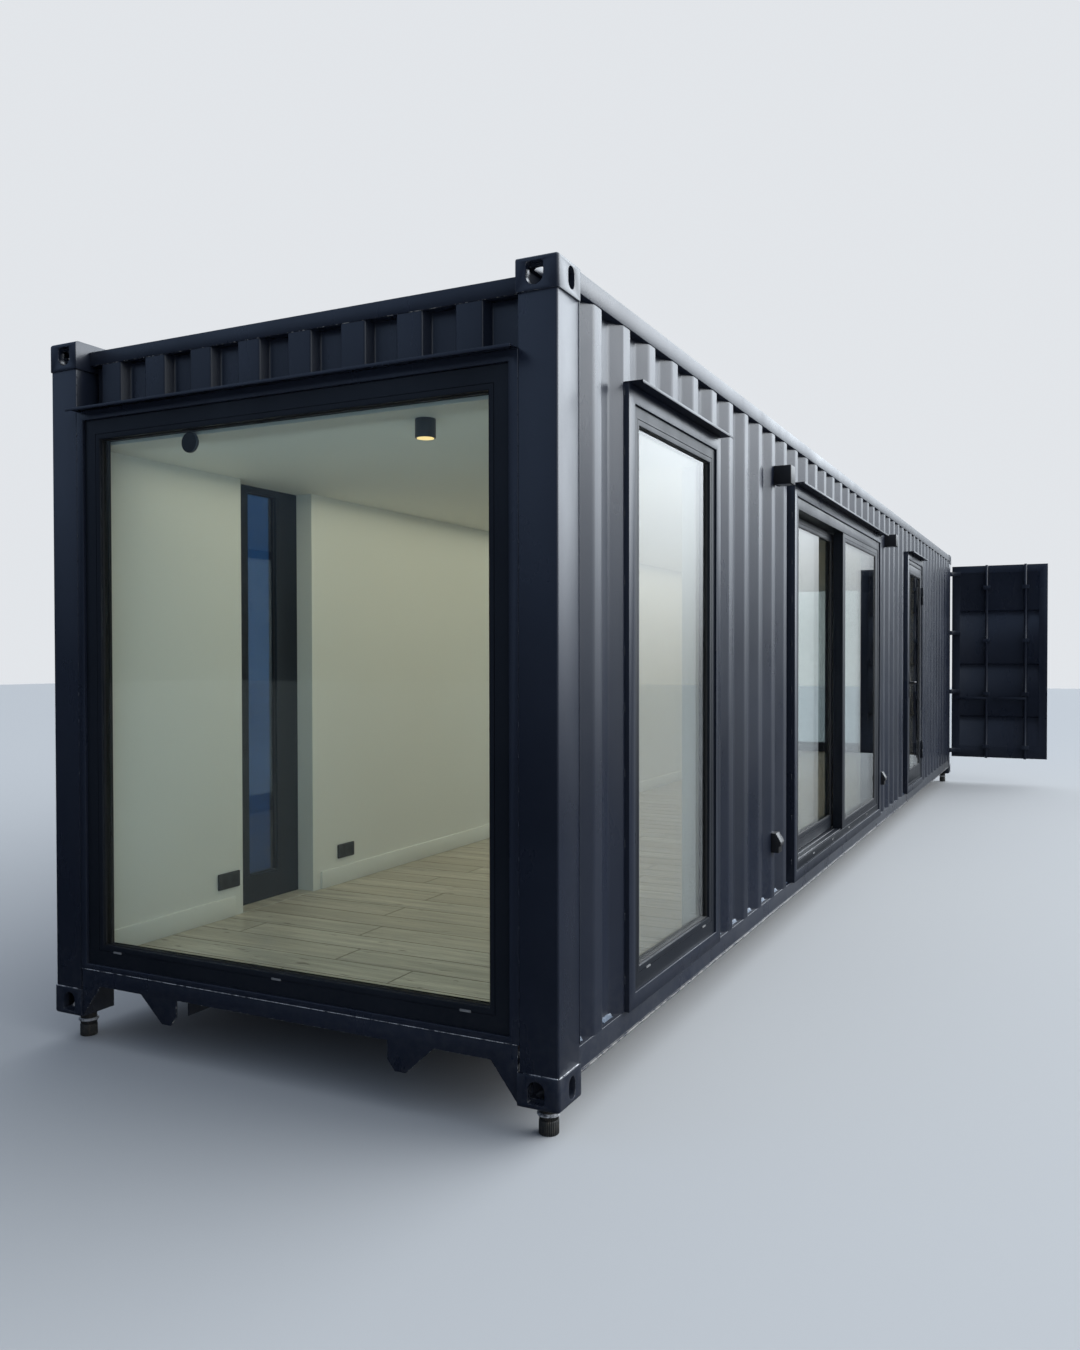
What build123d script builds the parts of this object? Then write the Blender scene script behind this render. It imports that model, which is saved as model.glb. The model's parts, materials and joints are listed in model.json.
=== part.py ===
from build123d import *
import math
import os

os.makedirs("parts", exist_ok=True)

# Shipping container cabin, in millimetres.
# The origin is the middle of the base of the foot under the front right corner.
# +X runs from the glazed front end to the cargo doors, +Y to the left side, +Z up.

# Container envelope and the feet under it
container_length = 12192.0
container_width = 2438.0
container_height = 2896.0
foot_height = 115.0

# Corner castings
casting_length = 178.0
casting_width = 162.0
casting_height = 118.0
casting_wall = 29.0
casting_corner_radius = 14.0
aperture_from_end = 103.5
aperture_from_side = 89.5
aperture_length = 124.0
aperture_width = 63.5
end_hole_width = 66.0
end_hole_height = 80.0
side_hole_width = 51.0
side_hole_height = 79.0

# Feet
foot_body_radius = 36.0
foot_flute_count = 20
foot_flute_depth = 2.0
foot_body_height = 88.0
foot_collar_radius = 29.0
foot_collar_height = 6.0
foot_neck_radius = 18.0
foot_shoulder_size = 92.0
foot_shoulder_thickness = 6.0

# Steel skin and posts
post_setback = 5.5
post_wall = 6.0
front_post_width = 150.0
front_post_return = 30.0
front_post_inner_return = 120.0
post_corner_radius = 9.0
rear_post_outer_width = 40.0
rear_post_inner_width = 104.0
rear_post_setback = 58.0
rear_post_shoulder = 140.0
skin_thickness = 2.0
side_crest = 72.0
side_slope = 68.0
side_valley = 70.0
side_depth = 36.0
side_first_crest = 308.5
end_first_crest = 332.5
end_crest = 110.0
end_slope = 18.0
end_valley = 106.0
end_depth = 45.6
end_setback = 73.0

# Rails
top_rail_width = 60.0
top_rail_height = 76.0
top_rail_wall = 4.0
top_rail_drop = 13.0
front_top_rail_height = 61.0
front_top_rail_drop = 34.0
bottom_rail_bottom = 85.0
bottom_rail_height = 90.0
bottom_rail_wall = 4.5
bottom_rail_flange = 50.0
bottom_rail_setback = 8.0
bottom_rail_lip = 9.0
bottom_rail_lip_thickness = 7.0
front_rail_bottom = 143.0
front_rail_height = 68.0
front_rail_depth = 70.0
front_rail_setback = 8.5
gusset_reach = 108.0
gusset_low_point = 4.0
gusset_thickness = 8.0
tunnel_width = 1034.0
tunnel_length = 3150.0
tunnel_plate = 6.0
tunnel_top = 131.0
tunnel_side_drop = 70.0
tab_outer_reach = 198.0
tab_flat_near = 32.0
tab_flat_far = 80.0
tab_drop = 108.0
tab_straight = 68.0

# Underframe and floor
cross_member_height = 60.0
cross_member_flange = 45.0
cross_member_wall = 4.5
cross_member_pitch = 305.0
cross_member_inset = 260.0
deck_thickness = 28.0
floor_build_up = 64.0

# Roof
roof_wave_count = 53
roof_depth = 20.0
roof_crest = 91.0
roof_slope = 13.5
roof_drop = 12.0
roof_end_plate = 300.0
roof_end_plate_thickness = 4.0

# Insulated lining of the room
end_wall_depth = 131.5
wall_build_up = 165.0
ceiling_from_top = 443.0
ceiling_thickness = 60.0
skirting_height = 100.0
skirting_thickness = 15.0

# Steel surrounds of the openings
surround_from_top = 303.0
side_surround_stand = 20.0
side_surround_width = 66.0
side_surround_sill = 60.0
side_surround_head = 70.0
surround_thickness = 75.0
front_surround_width = 38.0
front_surround_sill = 23.0
front_surround_head = 40.0
ledge_projection = 58.0
ledge_thickness = 3.0
ledge_lip = 12.0
ledge_overhang = 12.0

# Aluminium frames and glass
profile_depth = 65.0
profile_setback = 10.0
fixed_profile_width = 71.0
fixed_profile_sill = 86.0
front_profile_width = 86.0
front_profile_setback = 12.0
left_profile_width = 172.0
left_profile_head = 104.0
left_profile_sill = 150.0
glass_setback = 18.0
glass_thickness = 28.0
glass_cover = 14.0

# Places of the openings along the sides
right_window_start = 492.0
right_window_width = 1178.0
sliding_start = 3178.0
sliding_width = 3168.0
glazed_door_start = 7950.0
glazed_door_width = 1165.0
left_window_start = 840.0
left_window_width = 700.0

# Sliding door
sliding_profile_width = 71.0
sliding_profile_depth = 150.0
sliding_leaf_depth = 56.0
sliding_leaf_step = 80.0
sliding_leaf_setback = 3.0
sliding_stile = 98.0
sliding_moving_rail = 89.0
sliding_fixed_rail = 60.0
sliding_top_rail = 57.0
sliding_meeting_overlap = 44.0
fixed_leaf_thickness = 70.0
leaf_glass_setback = 8.0
leaf_gap = 6.0
sliding_sill_height = 49.0
track_width = 14.0
track_height = 4.0
runner_gap = 0.3
runner_length = 140.0
runner_width = 22.0

# Glazed door
door_profile_width = 40.0
door_stop_width = 22.0
door_stop_depth = 18.0
door_leaf_thickness = 60.0
door_stile = 92.0
door_bottom_rail = 128.0
door_lock_gap = 9.0
door_threshold_height = 30.0
door_hinge_radius = 10.0
door_hinge_length = 190.0
door_hinge_stand = 15.0
door_hinge_inset = 275.0
door_hinge_gap = 0.3
door_hinge_flap = 42.0
door_hinge_plate = 4.0
lever_height = 1402.0
lever_plate_height = 250.0
lever_plate_width = 38.0
lever_plate_thickness = 9.0
lever_length = 125.0
lever_radius = 9.5
lever_stand = 48.0
lever_hub_radius = 13.0
spindle_clearance = 0.1
spindle_radius = 6.0

# Cargo doors
cargo_leaf_thickness = 50.0
cargo_leaf_recess = 75.0
cargo_leaf_gap = 8.0
cargo_centre_gap = 5.0
cargo_leaf_bottom = 215.0
cargo_leaf_from_top = 145.0
cargo_frame_width = 100.0
cargo_frame_bottom = 150.0
cargo_panel_setback = 6.0
cargo_panel_thickness = 2.0
cargo_channel_depth = 32.0
cargo_channel_heights = (715.0, 1405.0, 2105.0)
cargo_channel_flat = 70.0
cargo_channel_slope = 62.0
hinge_pin_from_rear = 22.0
hinge_pin_from_side = 22.0
hinge_pin_radius = 8.0
hinge_knuckle_radius = 13.0
hinge_knuckle_height = 56.0
hinge_lug_height = 18.0
hinge_pin_clearance = 0.1
hinge_axial_clearance = 1.0
hinge_count = 4
hinge_from_bottom = 300.0
hinge_from_top = 246.0
hinge_blade_reach = 140.0
locking_bar_radius = 17.0
locking_bar_places = (430.0, 900.0)
locking_bar_offset = 20.0
locking_bar_end = 6.0
bar_guide_width = 90.0
bar_guide_height = 50.0
bar_guide_count = 4
bar_guide_from_bottom = 360.0
bar_guide_from_top = 436.0
bar_handle_height = 1000.0
bar_handle_length = 380.0
header_height = 118.0
header_depth = 130.0
header_drop = 13.0
sill_height = 112.0
sill_bottom = 85.0

# Lamps, sockets and ceiling spots
lamp_size = 100.0
lamp_height = 104.0
lamp_edge_radius = 6.0
lamp_places = (2792.0, 6676.0)
lamp_from_top = 320.0
outdoor_socket_width = 78.0
outdoor_socket_height = 110.0
outdoor_socket_depth = 55.0
outdoor_socket_top_depth = 26.0
outdoor_socket_radius = 5.0
outdoor_socket_level = 605.0
outdoor_socket_places = (2743.0, 6410.0)
indoor_socket_width = 152.0
indoor_socket_height = 80.0
indoor_socket_depth = 11.0
indoor_socket_level = 540.0
indoor_socket_places = (800.0, 1770.0)
spot_radius = 40.0
spot_height = 73.0
spot_from_wall = 517.0
spot_place = 150.0
vent_radius = 42.0
vent_depth = 18.0
vent_place = 1607.0
vent_from_ceiling = 31.0

# Levels and planes that follow from the sizes above
front_face = -aperture_from_end
rear_face = front_face + container_length
right_face = -aperture_from_side
left_face = right_face + container_width
base_level = foot_height
top_level = base_level + container_height
middle_y = (right_face + left_face) / 2
middle_x = (front_face + rear_face) / 2
post_bottom = base_level + casting_height
post_top = top_level - casting_height
post_side = right_face + post_setback
front_post_face = front_face + post_setback
front_post_edge = post_side + front_post_width
front_post_end = front_face + casting_length
rear_post_start = rear_face - casting_length
crest_plane = post_side
valley_plane = crest_plane + side_depth
rail_bottom = base_level + bottom_rail_bottom
rail_top = rail_bottom + bottom_rail_height
deck_top = rail_top
floor_level = deck_top + floor_build_up
ceiling_level = top_level - ceiling_from_top
lining_face = right_face + wall_build_up
lining_back = valley_plane + skin_thickness
top_rail_top = top_level - top_rail_drop
top_rail_bottom = top_rail_top - top_rail_height
surround_top = top_level - surround_from_top
surround_face = crest_plane - side_surround_stand
surround_back = surround_face + surround_thickness
profile_face = surround_face + profile_setback
end_wall_start = rear_post_start - 90.0


def mirror_left(shape):
    return mirror(shape, about=Plane(origin=(0, middle_y, 0), z_dir=(0, 1, 0)))


def mirror_rear(shape):
    return mirror(shape, about=Plane(origin=(middle_x, 0, 0), z_dir=(1, 0, 0)))


def prism_x(outline, x0, x1):
    """An outline of (y, z) points drawn out from x0 to x1."""
    plane = Plane(origin=(x0, 0, 0), x_dir=(0, 1, 0), z_dir=(1, 0, 0))
    return extrude(plane * make_face(Polyline(*outline, close=True)), x1 - x0)


def prism_y(outline, y0, y1):
    """An outline of (x, z) points drawn out from y0 to y1."""
    plane = Plane(origin=(0, y1, 0), x_dir=(1, 0, 0), z_dir=(0, -1, 0))
    return extrude(plane * make_face(Polyline(*outline, close=True)), y1 - y0)


def prism_z(outline, z0, z1):
    """An outline of (x, y) points drawn out from z0 to z1."""
    plane = Plane(origin=(0, 0, z0))
    return extrude(plane * make_face(Polyline(*outline, close=True)), z1 - z0)


def rectangle(a0, a1, b0, b1):
    return [(a0, b0), (a1, b0), (a1, b1), (a0, b1)]


def block(x0, x1, y0, y1, z0, z1):
    return prism_z(rectangle(x0, x1, y0, y1), z0, z1)


def sheet_outline(path, thickness):
    """A folded sheet: the path and its mitred parallel, thickness to its left."""
    count = len(path)
    inner = []
    for i in range(count):
        before = path[i - 1] if i > 0 else None
        after = path[i + 1] if i < count - 1 else None
        normals = []
        for a, b in ((before, path[i]), (path[i], after)):
            if a is None or b is None:
                continue
            length = math.dist(a, b)
            normals.append((-(b[1] - a[1]) / length, (b[0] - a[0]) / length))
        nx = sum(n[0] for n in normals) / len(normals)
        ny = sum(n[1] for n in normals) / len(normals)
        square = nx * nx + ny * ny
        inner.append((path[i][0] + thickness * nx / square, path[i][1] + thickness * ny / square))
    return path + inner[::-1]


def corrugation(start, end, first_crest, crest, slope, valley, depth):
    """Points (along, inward) of a trapezoid corrugation, cut off at start and end."""
    pitch = crest + slope + valley + slope
    knots = []
    position = first_crest - pitch * math.ceil((first_crest - start) / pitch + 1)
    while position < end + pitch:
        knots += [(position, 0.0), (position + crest, 0.0)]
        knots += [(position + crest + slope, depth), (position + crest + slope + valley, depth)]
        position += pitch

    def depth_at(along):
        for (a, da), (b, db) in zip(knots, knots[1:]):
            if a <= along <= b:
                return da + (db - da) * (along - a) / (b - a)
        return 0.0

    inside = [knot for knot in knots if start + 1.0 < knot[0] < end - 1.0]
    return [(start, depth_at(start))] + inside + [(end, depth_at(end))]


def ring(outer, inner):
    """A flat ring of (a, b) rectangles as one sketch in its own plane."""
    outside = make_face(Polyline(*rectangle(*outer), close=True))
    return outside - make_face(Polyline(*rectangle(*inner), close=True))


def side_ring(outer, inner, y0, y1):
    """A frame in a side wall: rectangles in (x, z), from y0 to y1."""
    plane = Plane(origin=(0, y1, 0), x_dir=(1, 0, 0), z_dir=(0, -1, 0))
    return extrude(plane * ring(outer, inner), y1 - y0)


def end_ring(outer, inner, x0, x1):
    """A frame in an end wall: rectangles in (y, z), from x0 to x1."""
    plane = Plane(origin=(x0, 0, 0), x_dir=(0, 1, 0), z_dir=(1, 0, 0))
    return extrude(plane * ring(outer, inner), x1 - x0)


def inset(box, left, right, bottom, top):
    return (box[0] + left, box[1] - right, box[2] + bottom, box[3] - top)


def write(name, *shapes):
    pieces = [piece for shape in shapes for piece in shape.solids()]
    export_step(pieces[0] if len(pieces) == 1 else Compound(pieces), "parts/" + name + ".step")


def four_corners(shape):
    left = mirror_left(shape)
    return [shape, left, mirror_rear(shape), mirror_rear(left)]


# Corner castings
def corner_casting(bottom):
    z0 = base_level if bottom else top_level - casting_height
    z1 = z0 + casting_height
    x1 = front_face + casting_length
    y1 = right_face + casting_width
    body = block(front_face, x1, right_face, y1, z0, z1)
    outer_z = z0 if bottom else z1
    edges = [e for e in body.edges() if touches_corner(e, front_face, right_face, outer_z)]
    body = fillet(edges, casting_corner_radius)
    wall = casting_wall
    hollow = block(front_face + wall, x1 - wall, right_face + wall, y1 - wall, z0 + wall, z1 - wall)
    middle_z = (z0 + z1) / 2
    aperture_z = z0 + wall / 2 if bottom else z1 - wall / 2
    aperture = Pos(0, 0, aperture_z) * extrude(SlotOverall(aperture_length, aperture_width), wall, both=True)
    end_plane = Plane(origin=(front_face, 0, middle_z), x_dir=(0, 1, 0), z_dir=(1, 0, 0))
    end_shape = end_hole_outline()
    if bottom:
        end_shape = mirror(end_shape, about=Plane.XZ)
    end_hole = extrude(end_plane * end_shape, wall, both=True)
    side_plane = Plane(origin=(0, right_face, middle_z), x_dir=(1, 0, 0), z_dir=(0, -1, 0))
    side_hole = extrude(side_plane * SlotOverall(side_hole_height, side_hole_width, 90), wall, both=True)
    return body - hollow - aperture - end_hole - side_hole


def touches_corner(edge, x, y, z):
    ends = [edge.position_at(0), edge.position_at(1)]
    return any(abs(p.X - x) + abs(p.Y - y) + abs(p.Z - z) < 0.01 for p in ends)


def end_hole_outline():
    radius = end_hole_width / 2
    straight = end_hole_height - radius
    lower = Pos(0, -end_hole_height / 2 + radius) * Circle(radius)
    upper = Pos(0, end_hole_height / 2 - straight / 2) * Rectangle(end_hole_width, straight)
    top_corners = upper.vertices().sort_by(Axis.Y)[-2:]
    return lower + fillet(top_corners, radius / 3)


# Feet
def foot():
    flutes = []
    for i in range(foot_flute_count * 2):
        angle = math.pi * i / foot_flute_count
        radius = foot_body_radius - (foot_flute_depth if i % 2 else 0.0)
        flutes.append((radius * math.cos(angle), radius * math.sin(angle)))
    body = prism_z(flutes, 0, foot_body_height)
    collar_top = foot_body_height + foot_collar_height
    shoulder_base = foot_height - foot_shoulder_thickness
    collar = Cylinder(foot_collar_radius, foot_collar_height, align=(Align.CENTER, Align.CENTER, Align.MIN))
    neck = Cylinder(foot_neck_radius, shoulder_base - collar_top, align=(Align.CENTER, Align.CENTER, Align.MIN))
    half = foot_shoulder_size / 2
    shoulder = block(-half, half, -half, half, shoulder_base, foot_height)
    return body + Pos(0, 0, foot_body_height) * collar + Pos(0, 0, collar_top) * neck + shoulder


# Posts
def front_post():
    path = [
        (front_post_end, post_side + front_post_return),
        (front_post_end, post_side),
        (front_post_face, post_side),
        (front_post_face, front_post_edge),
        (front_post_face + front_post_inner_return, front_post_edge),
    ]
    profile = sheet_outline(path[::-1], post_wall)
    post = prism_z(profile, post_bottom, post_top)
    corner = [e for e in post.edges().filter_by(Axis.Z) if at_plan(e, front_post_face, post_side)]
    return fillet(corner, post_corner_radius)


def at_plan(edge, x, y):
    p = edge.position_at(0.5)
    return abs(p.X - x) + abs(p.Y - y) < 0.01


def rear_post():
    face = rear_face - rear_post_setback
    shoulder = rear_face - rear_post_shoulder
    path = [
        (rear_post_start, post_side + rear_post_inner_width),
        (shoulder, post_side + rear_post_inner_width),
        (shoulder, post_side + rear_post_outer_width),
        (face, post_side + rear_post_outer_width),
        (face, post_side),
        (rear_post_start, post_side),
        (rear_post_start, post_side + rear_post_outer_width),
    ]
    return prism_z(sheet_outline(path[::-1], post_wall), post_bottom, post_top)


# Rails
def top_side_rail():
    y0 = post_side - 2.5
    outline = rectangle(y0, y0 + top_rail_width, top_rail_bottom, top_rail_top)
    w = top_rail_wall
    bore = rectangle(y0 + w, y0 + top_rail_width - w, top_rail_bottom + w, top_rail_top - w)
    x0 = front_post_end
    x1 = rear_post_start
    return prism_x(outline, x0, x1) - prism_x(bore, x0, x1)


def bottom_side_rail():
    face = right_face + bottom_rail_setback
    lip = face - bottom_rail_lip
    path = [
        (lip, rail_bottom),
        (lip, rail_bottom + bottom_rail_lip_thickness),
        (face, rail_bottom + bottom_rail_lip_thickness),
        (face, rail_top),
        (face + bottom_rail_flange, rail_top),
        (face + bottom_rail_flange, rail_top - bottom_rail_wall),
        (face + bottom_rail_wall, rail_top - bottom_rail_wall),
        (face + bottom_rail_wall, rail_bottom),
    ]
    return prism_x(path, front_post_end, rear_post_start)


def front_top_rail():
    top = top_level - front_top_rail_drop
    bottom = top - front_top_rail_height
    x0 = front_face + end_setback
    x1 = x0 + top_rail_width
    y0 = right_face + casting_width
    y1 = left_face - casting_width
    w = top_rail_wall
    outline = rectangle(x0, x1, bottom, top)
    bore = rectangle(x0 + w, x1 - w, bottom + w, top - w)
    return prism_y(outline, y0, y1) - prism_y(bore, y0, y1)


def front_bottom_rail():
    bottom = base_level + front_rail_bottom
    top = bottom + front_rail_height
    x0 = front_face + front_rail_setback
    y0 = right_face + casting_width
    y1 = left_face - casting_width
    w = bottom_rail_wall + 1.5
    x1 = x0 + front_rail_depth
    channel = [(x1, bottom), (x0, bottom), (x0, top), (x1, top)]
    rail = prism_y(sheet_outline(channel[::-1], w), y0, y1)
    gusset = [
        (y0, bottom + w),
        (y0, base_level + gusset_low_point),
        (y0 + gusset_reach, bottom),
        (y0 + gusset_reach, bottom + w),
    ]
    right_gusset = prism_x(gusset, x0, x0 + gusset_thickness)
    inner = middle_y - tunnel_width / 2
    low = bottom - tab_drop
    tab = [
        (inner, bottom + w),
        (inner, bottom - tab_straight),
        (inner - tab_flat_near, low),
        (inner - tab_flat_far, low),
        (inner - tab_outer_reach, bottom),
        (inner - tab_outer_reach, bottom + w),
    ]
    right_tab = prism_x(tab, x0, x0 + gusset_thickness)
    return rail + right_gusset + mirror_left(right_gusset) + right_tab + mirror_left(right_tab)


# Roof, header and walls
def side_skin(x0, x1, z0, z1):
    first = front_face + side_first_crest
    points = corrugation(x0 - 9.0, x1 + 9.0, first, side_crest, side_slope, side_valley, side_depth)
    path = [(along, crest_plane + depth) for along, depth in points]
    skin = prism_z(sheet_outline(path, skin_thickness), z0, z1)
    return skin & block(x0, x1, crest_plane - 1.0, valley_plane + skin_thickness + 1.0, z0, z1)


def front_header_panel():
    y0 = right_face + casting_width
    y1 = left_face - casting_width
    first = right_face + end_first_crest
    points = corrugation(y0, y1, first, end_crest, end_slope, end_valley, end_depth)
    plane_x = front_face + end_setback + 2.0
    path = [(plane_x + depth, along) for along, depth in points]
    top = top_level - front_top_rail_drop - front_top_rail_height
    return prism_z(sheet_outline(path[::-1], skin_thickness), surround_top + ledge_thickness, top)


def roof_panel():
    x0 = front_post_end + roof_end_plate
    x1 = rear_post_start - roof_end_plate
    pitch = (x1 - x0 - roof_crest) / roof_wave_count
    valley = pitch - roof_crest - 2 * roof_slope
    points = corrugation(x0, x1, x0, roof_crest, roof_slope, valley, roof_depth)
    top = top_level - roof_drop
    path = [(along, top - depth) for along, depth in points]
    y0 = post_side - 2.5 + top_rail_width
    y1 = 2 * middle_y - y0
    sheets = prism_y(sheet_outline(path[::-1], skin_thickness), y0, y1)
    bottom = top - roof_end_plate_thickness
    front_start = front_face + end_setback + top_rail_width
    rear_end = rear_face - header_drop - header_depth
    y2 = right_face + casting_width
    y3 = left_face - casting_width
    sheets += block(front_post_end, x0 + 1.0, y0, y1, bottom, top)
    sheets += block(front_start, front_post_end, y2, y3, bottom, top)
    sheets += block(x1 - 1.0, rear_post_start, y0, y1, bottom, top)
    sheets += block(rear_post_start, rear_end, y2, y3, bottom, top)
    return sheets


# Openings: each is (start, end, bottom, top) in (x, z)
right_window = (right_window_start, right_window_start + right_window_width, rail_top, surround_top)
sliding_opening = (sliding_start, sliding_start + sliding_width, rail_top, surround_top)
door_opening = (glazed_door_start, glazed_door_start + glazed_door_width, rail_top, surround_top)
left_window = (left_window_start, left_window_start + left_window_width, rail_top, surround_top)
right_openings = [right_window, sliding_opening, door_opening]


def wall_between(openings, start, end):
    """The stretches of wall beside the openings, as (x0, x1)."""
    edges = [start]
    for opening in openings:
        edges += [opening[0], opening[1]]
    edges.append(end)
    return list(zip(edges[0::2], edges[1::2]))


def inside_surround(opening):
    return inset(opening, side_surround_width, side_surround_width, side_surround_sill, side_surround_head)


def surround(opening):
    return side_ring(opening, inside_surround(opening), surround_face, surround_back)


def reveal(opening, frame_back):
    """The lining between a frame and the room, level with floor and ceiling behind the frame."""
    room_box = (opening[0] + side_surround_width, opening[1] - side_surround_width, floor_level, ceiling_level)
    lining = side_ring(opening, room_box, frame_back, lining_face)
    if frame_back > surround_back:
        lining += side_ring(opening, inside_surround(opening), surround_back, frame_back)
    return lining


def drip_ledge(opening):
    """A folded sheet over an opening: it lies on the surround and turns down in front."""
    x0 = opening[0] - 2.0
    x1 = opening[1] + ledge_overhang
    top = surround_top + ledge_thickness
    front = surround_face - ledge_projection
    path = [(crest_plane, top), (front, top), (front, top - ledge_lip)]
    ledge = prism_x(sheet_outline(path, ledge_thickness), x0, x1)
    tail = block(opening[0], opening[1], crest_plane - 1.0, valley_plane, surround_top, top)
    return ledge + tail


def glass_pane(opening, y0):
    return block(opening[0], opening[1], y0, y0 + glass_thickness, opening[2], opening[3])


def glazed_frame(outer, widths, face, depth, setback):
    """An aluminium frame with a groove that holds the glass on all four sides."""
    clear = inset(outer, *widths)
    frame = side_ring(outer, clear, face, face + depth)
    pane_box = inset(clear, -glass_cover, -glass_cover, -glass_cover, -glass_cover)
    pane = glass_pane(pane_box, face + setback)
    return frame - pane, pane


def fixed_window(opening, width, sill, head):
    outer = inside_surround(opening)
    return glazed_frame(outer, (width, width, sill, head), profile_face, profile_depth, glass_setback)


# Sliding door
sliding_outer = inside_surround(sliding_opening)
sliding_clear = inset(sliding_outer, sliding_profile_width, sliding_profile_width, sliding_sill_height,
                      sliding_profile_width)
meeting_x = (sliding_clear[0] + sliding_clear[1]) / 2
fixed_leaf_face = profile_face + sliding_leaf_setback
moving_leaf_face = fixed_leaf_face + sliding_leaf_step


def sliding_frame():
    """Outer frame, with the rail on its sill that carries the moving leaf."""
    frame = side_ring(sliding_outer, sliding_clear, profile_face, profile_face + sliding_profile_depth)
    middle = moving_leaf_face + sliding_leaf_depth / 2
    sill = sliding_clear[2]
    track = block(sliding_clear[0], sliding_clear[1], middle - track_width / 2, middle + track_width / 2,
                  sill - 1.0, sill + track_height)
    return frame + track


def sliding_leaves():
    fixed_widths = (sliding_stile, sliding_stile, sliding_fixed_rail, sliding_top_rail)
    moving_widths = (sliding_stile, sliding_stile, sliding_moving_rail, sliding_top_rail)
    fixed_outer = (meeting_x - sliding_meeting_overlap, sliding_clear[1], sliding_clear[2], sliding_clear[3])
    fixed = glazed_frame(fixed_outer, fixed_widths, fixed_leaf_face, fixed_leaf_thickness,
                         leaf_glass_setback)
    moving_outer = (sliding_clear[0] + leaf_gap, meeting_x + sliding_meeting_overlap,
                    sliding_clear[2] + track_height + leaf_gap, sliding_clear[3] - leaf_gap)
    moving, pane = glazed_frame(moving_outer, moving_widths, moving_leaf_face, sliding_leaf_depth,
                                leaf_glass_setback)
    middle = moving_leaf_face + sliding_leaf_depth / 2
    low = sliding_clear[2] + track_height + runner_gap
    for x0 in (moving_outer[0] + sliding_stile, moving_outer[1] - sliding_stile - runner_length):
        moving += block(x0, x0 + runner_length, middle - runner_width / 2, middle + runner_width / 2,
                        low, moving_outer[2] + 1.0)
    return fixed, (moving, pane)


# Glazed door
door_outer = inside_surround(door_opening)
door_clear = inset(door_outer, door_profile_width, door_profile_width, door_threshold_height,
                   door_profile_width)
door_leaf_box = inset(door_clear, door_lock_gap, leaf_gap, leaf_gap, leaf_gap)
door_frame_back = profile_face + door_leaf_thickness + leaf_gap + door_stop_depth
door_pin_x = door_clear[1] - leaf_gap / 2
door_pin_y = profile_face - door_hinge_stand
lever_x = door_leaf_box[0] + door_stile / 2


def door_frame():
    """Jambs, head and threshold with a stop behind the leaf."""
    stop_face = profile_face + door_leaf_thickness + leaf_gap
    jambs = side_ring(door_outer, door_clear, profile_face, door_frame_back)
    stop_box = inset(door_clear, door_stop_width, door_stop_width, door_stop_width, door_stop_width)
    return jambs + side_ring(door_clear, stop_box, stop_face, door_frame_back)


def door_leaf():
    widths = (door_stile, door_stile, door_bottom_rail, door_stile)
    frame, pane = glazed_frame(door_leaf_box, widths, profile_face, door_leaf_thickness, leaf_glass_setback)
    bore = Cylinder(spindle_radius + spindle_clearance, door_leaf_thickness * 3)
    bore = Pos(lever_x, profile_face, lever_height) * Rot(90, 0, 0) * bore
    return frame - bore, pane


def door_hinge(level, part):
    """One barrel hinge: the lower half is fixed to the jamb, the upper half to the leaf."""
    half = door_hinge_length / 2
    z0 = level - half if part == "jamb" else level + door_hinge_gap
    z1 = level if part == "jamb" else level + half
    barrel = Pos(door_pin_x, door_pin_y, (z0 + z1) / 2) * Cylinder(door_hinge_radius, z1 - z0)
    side = 1.0 if part == "jamb" else -1.0
    bend = sorted((door_pin_x + side * leaf_gap / 2, door_pin_x + side * door_hinge_radius))
    reach = sorted((door_pin_x + side * leaf_gap / 2, door_pin_x + side * door_hinge_flap))
    web = block(bend[0], bend[1], door_pin_y, profile_face, z0, z1)
    flap = block(reach[0], reach[1], profile_face - door_hinge_plate, profile_face, z0, z1)
    return barrel + web + flap


def door_hinge_levels():
    return [door_leaf_box[2] + door_hinge_inset, door_leaf_box[3] - door_hinge_inset]


def lever_set(face, outward):
    """A lever on its hub; outward is -1 outside the door and +1 inside."""
    y_hub = face + outward * (lever_plate_thickness + 1.0)
    y_tip = face + outward * lever_stand
    hub_length = abs(y_tip - y_hub)
    hub = Cylinder(lever_hub_radius, hub_length)
    hub = Pos(lever_x, (y_hub + y_tip) / 2, lever_height) * Rot(90, 0, 0) * hub
    path = Polyline((lever_x, y_tip, lever_height), (lever_x + lever_length, y_tip, lever_height))
    grip = sweep(Plane(origin=(lever_x, y_tip, lever_height), z_dir=(1, 0, 0)) * Circle(lever_radius), path)
    end = Pos(lever_x + lever_length, y_tip, lever_height) * Sphere(lever_radius)
    knob = Pos(lever_x, y_tip, lever_height) * Sphere(lever_hub_radius)
    return hub + grip + end + knob


# Cargo doors
hinge_x = rear_face - hinge_pin_from_rear
hinge_y = right_face + hinge_pin_from_side
leaf_outer_face = rear_face - cargo_leaf_recess
leaf_start = post_side + rear_post_outer_width + cargo_leaf_gap
leaf_end = middle_y - cargo_centre_gap
leaf_low = base_level + cargo_leaf_bottom
leaf_high = top_level - cargo_leaf_from_top


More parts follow.
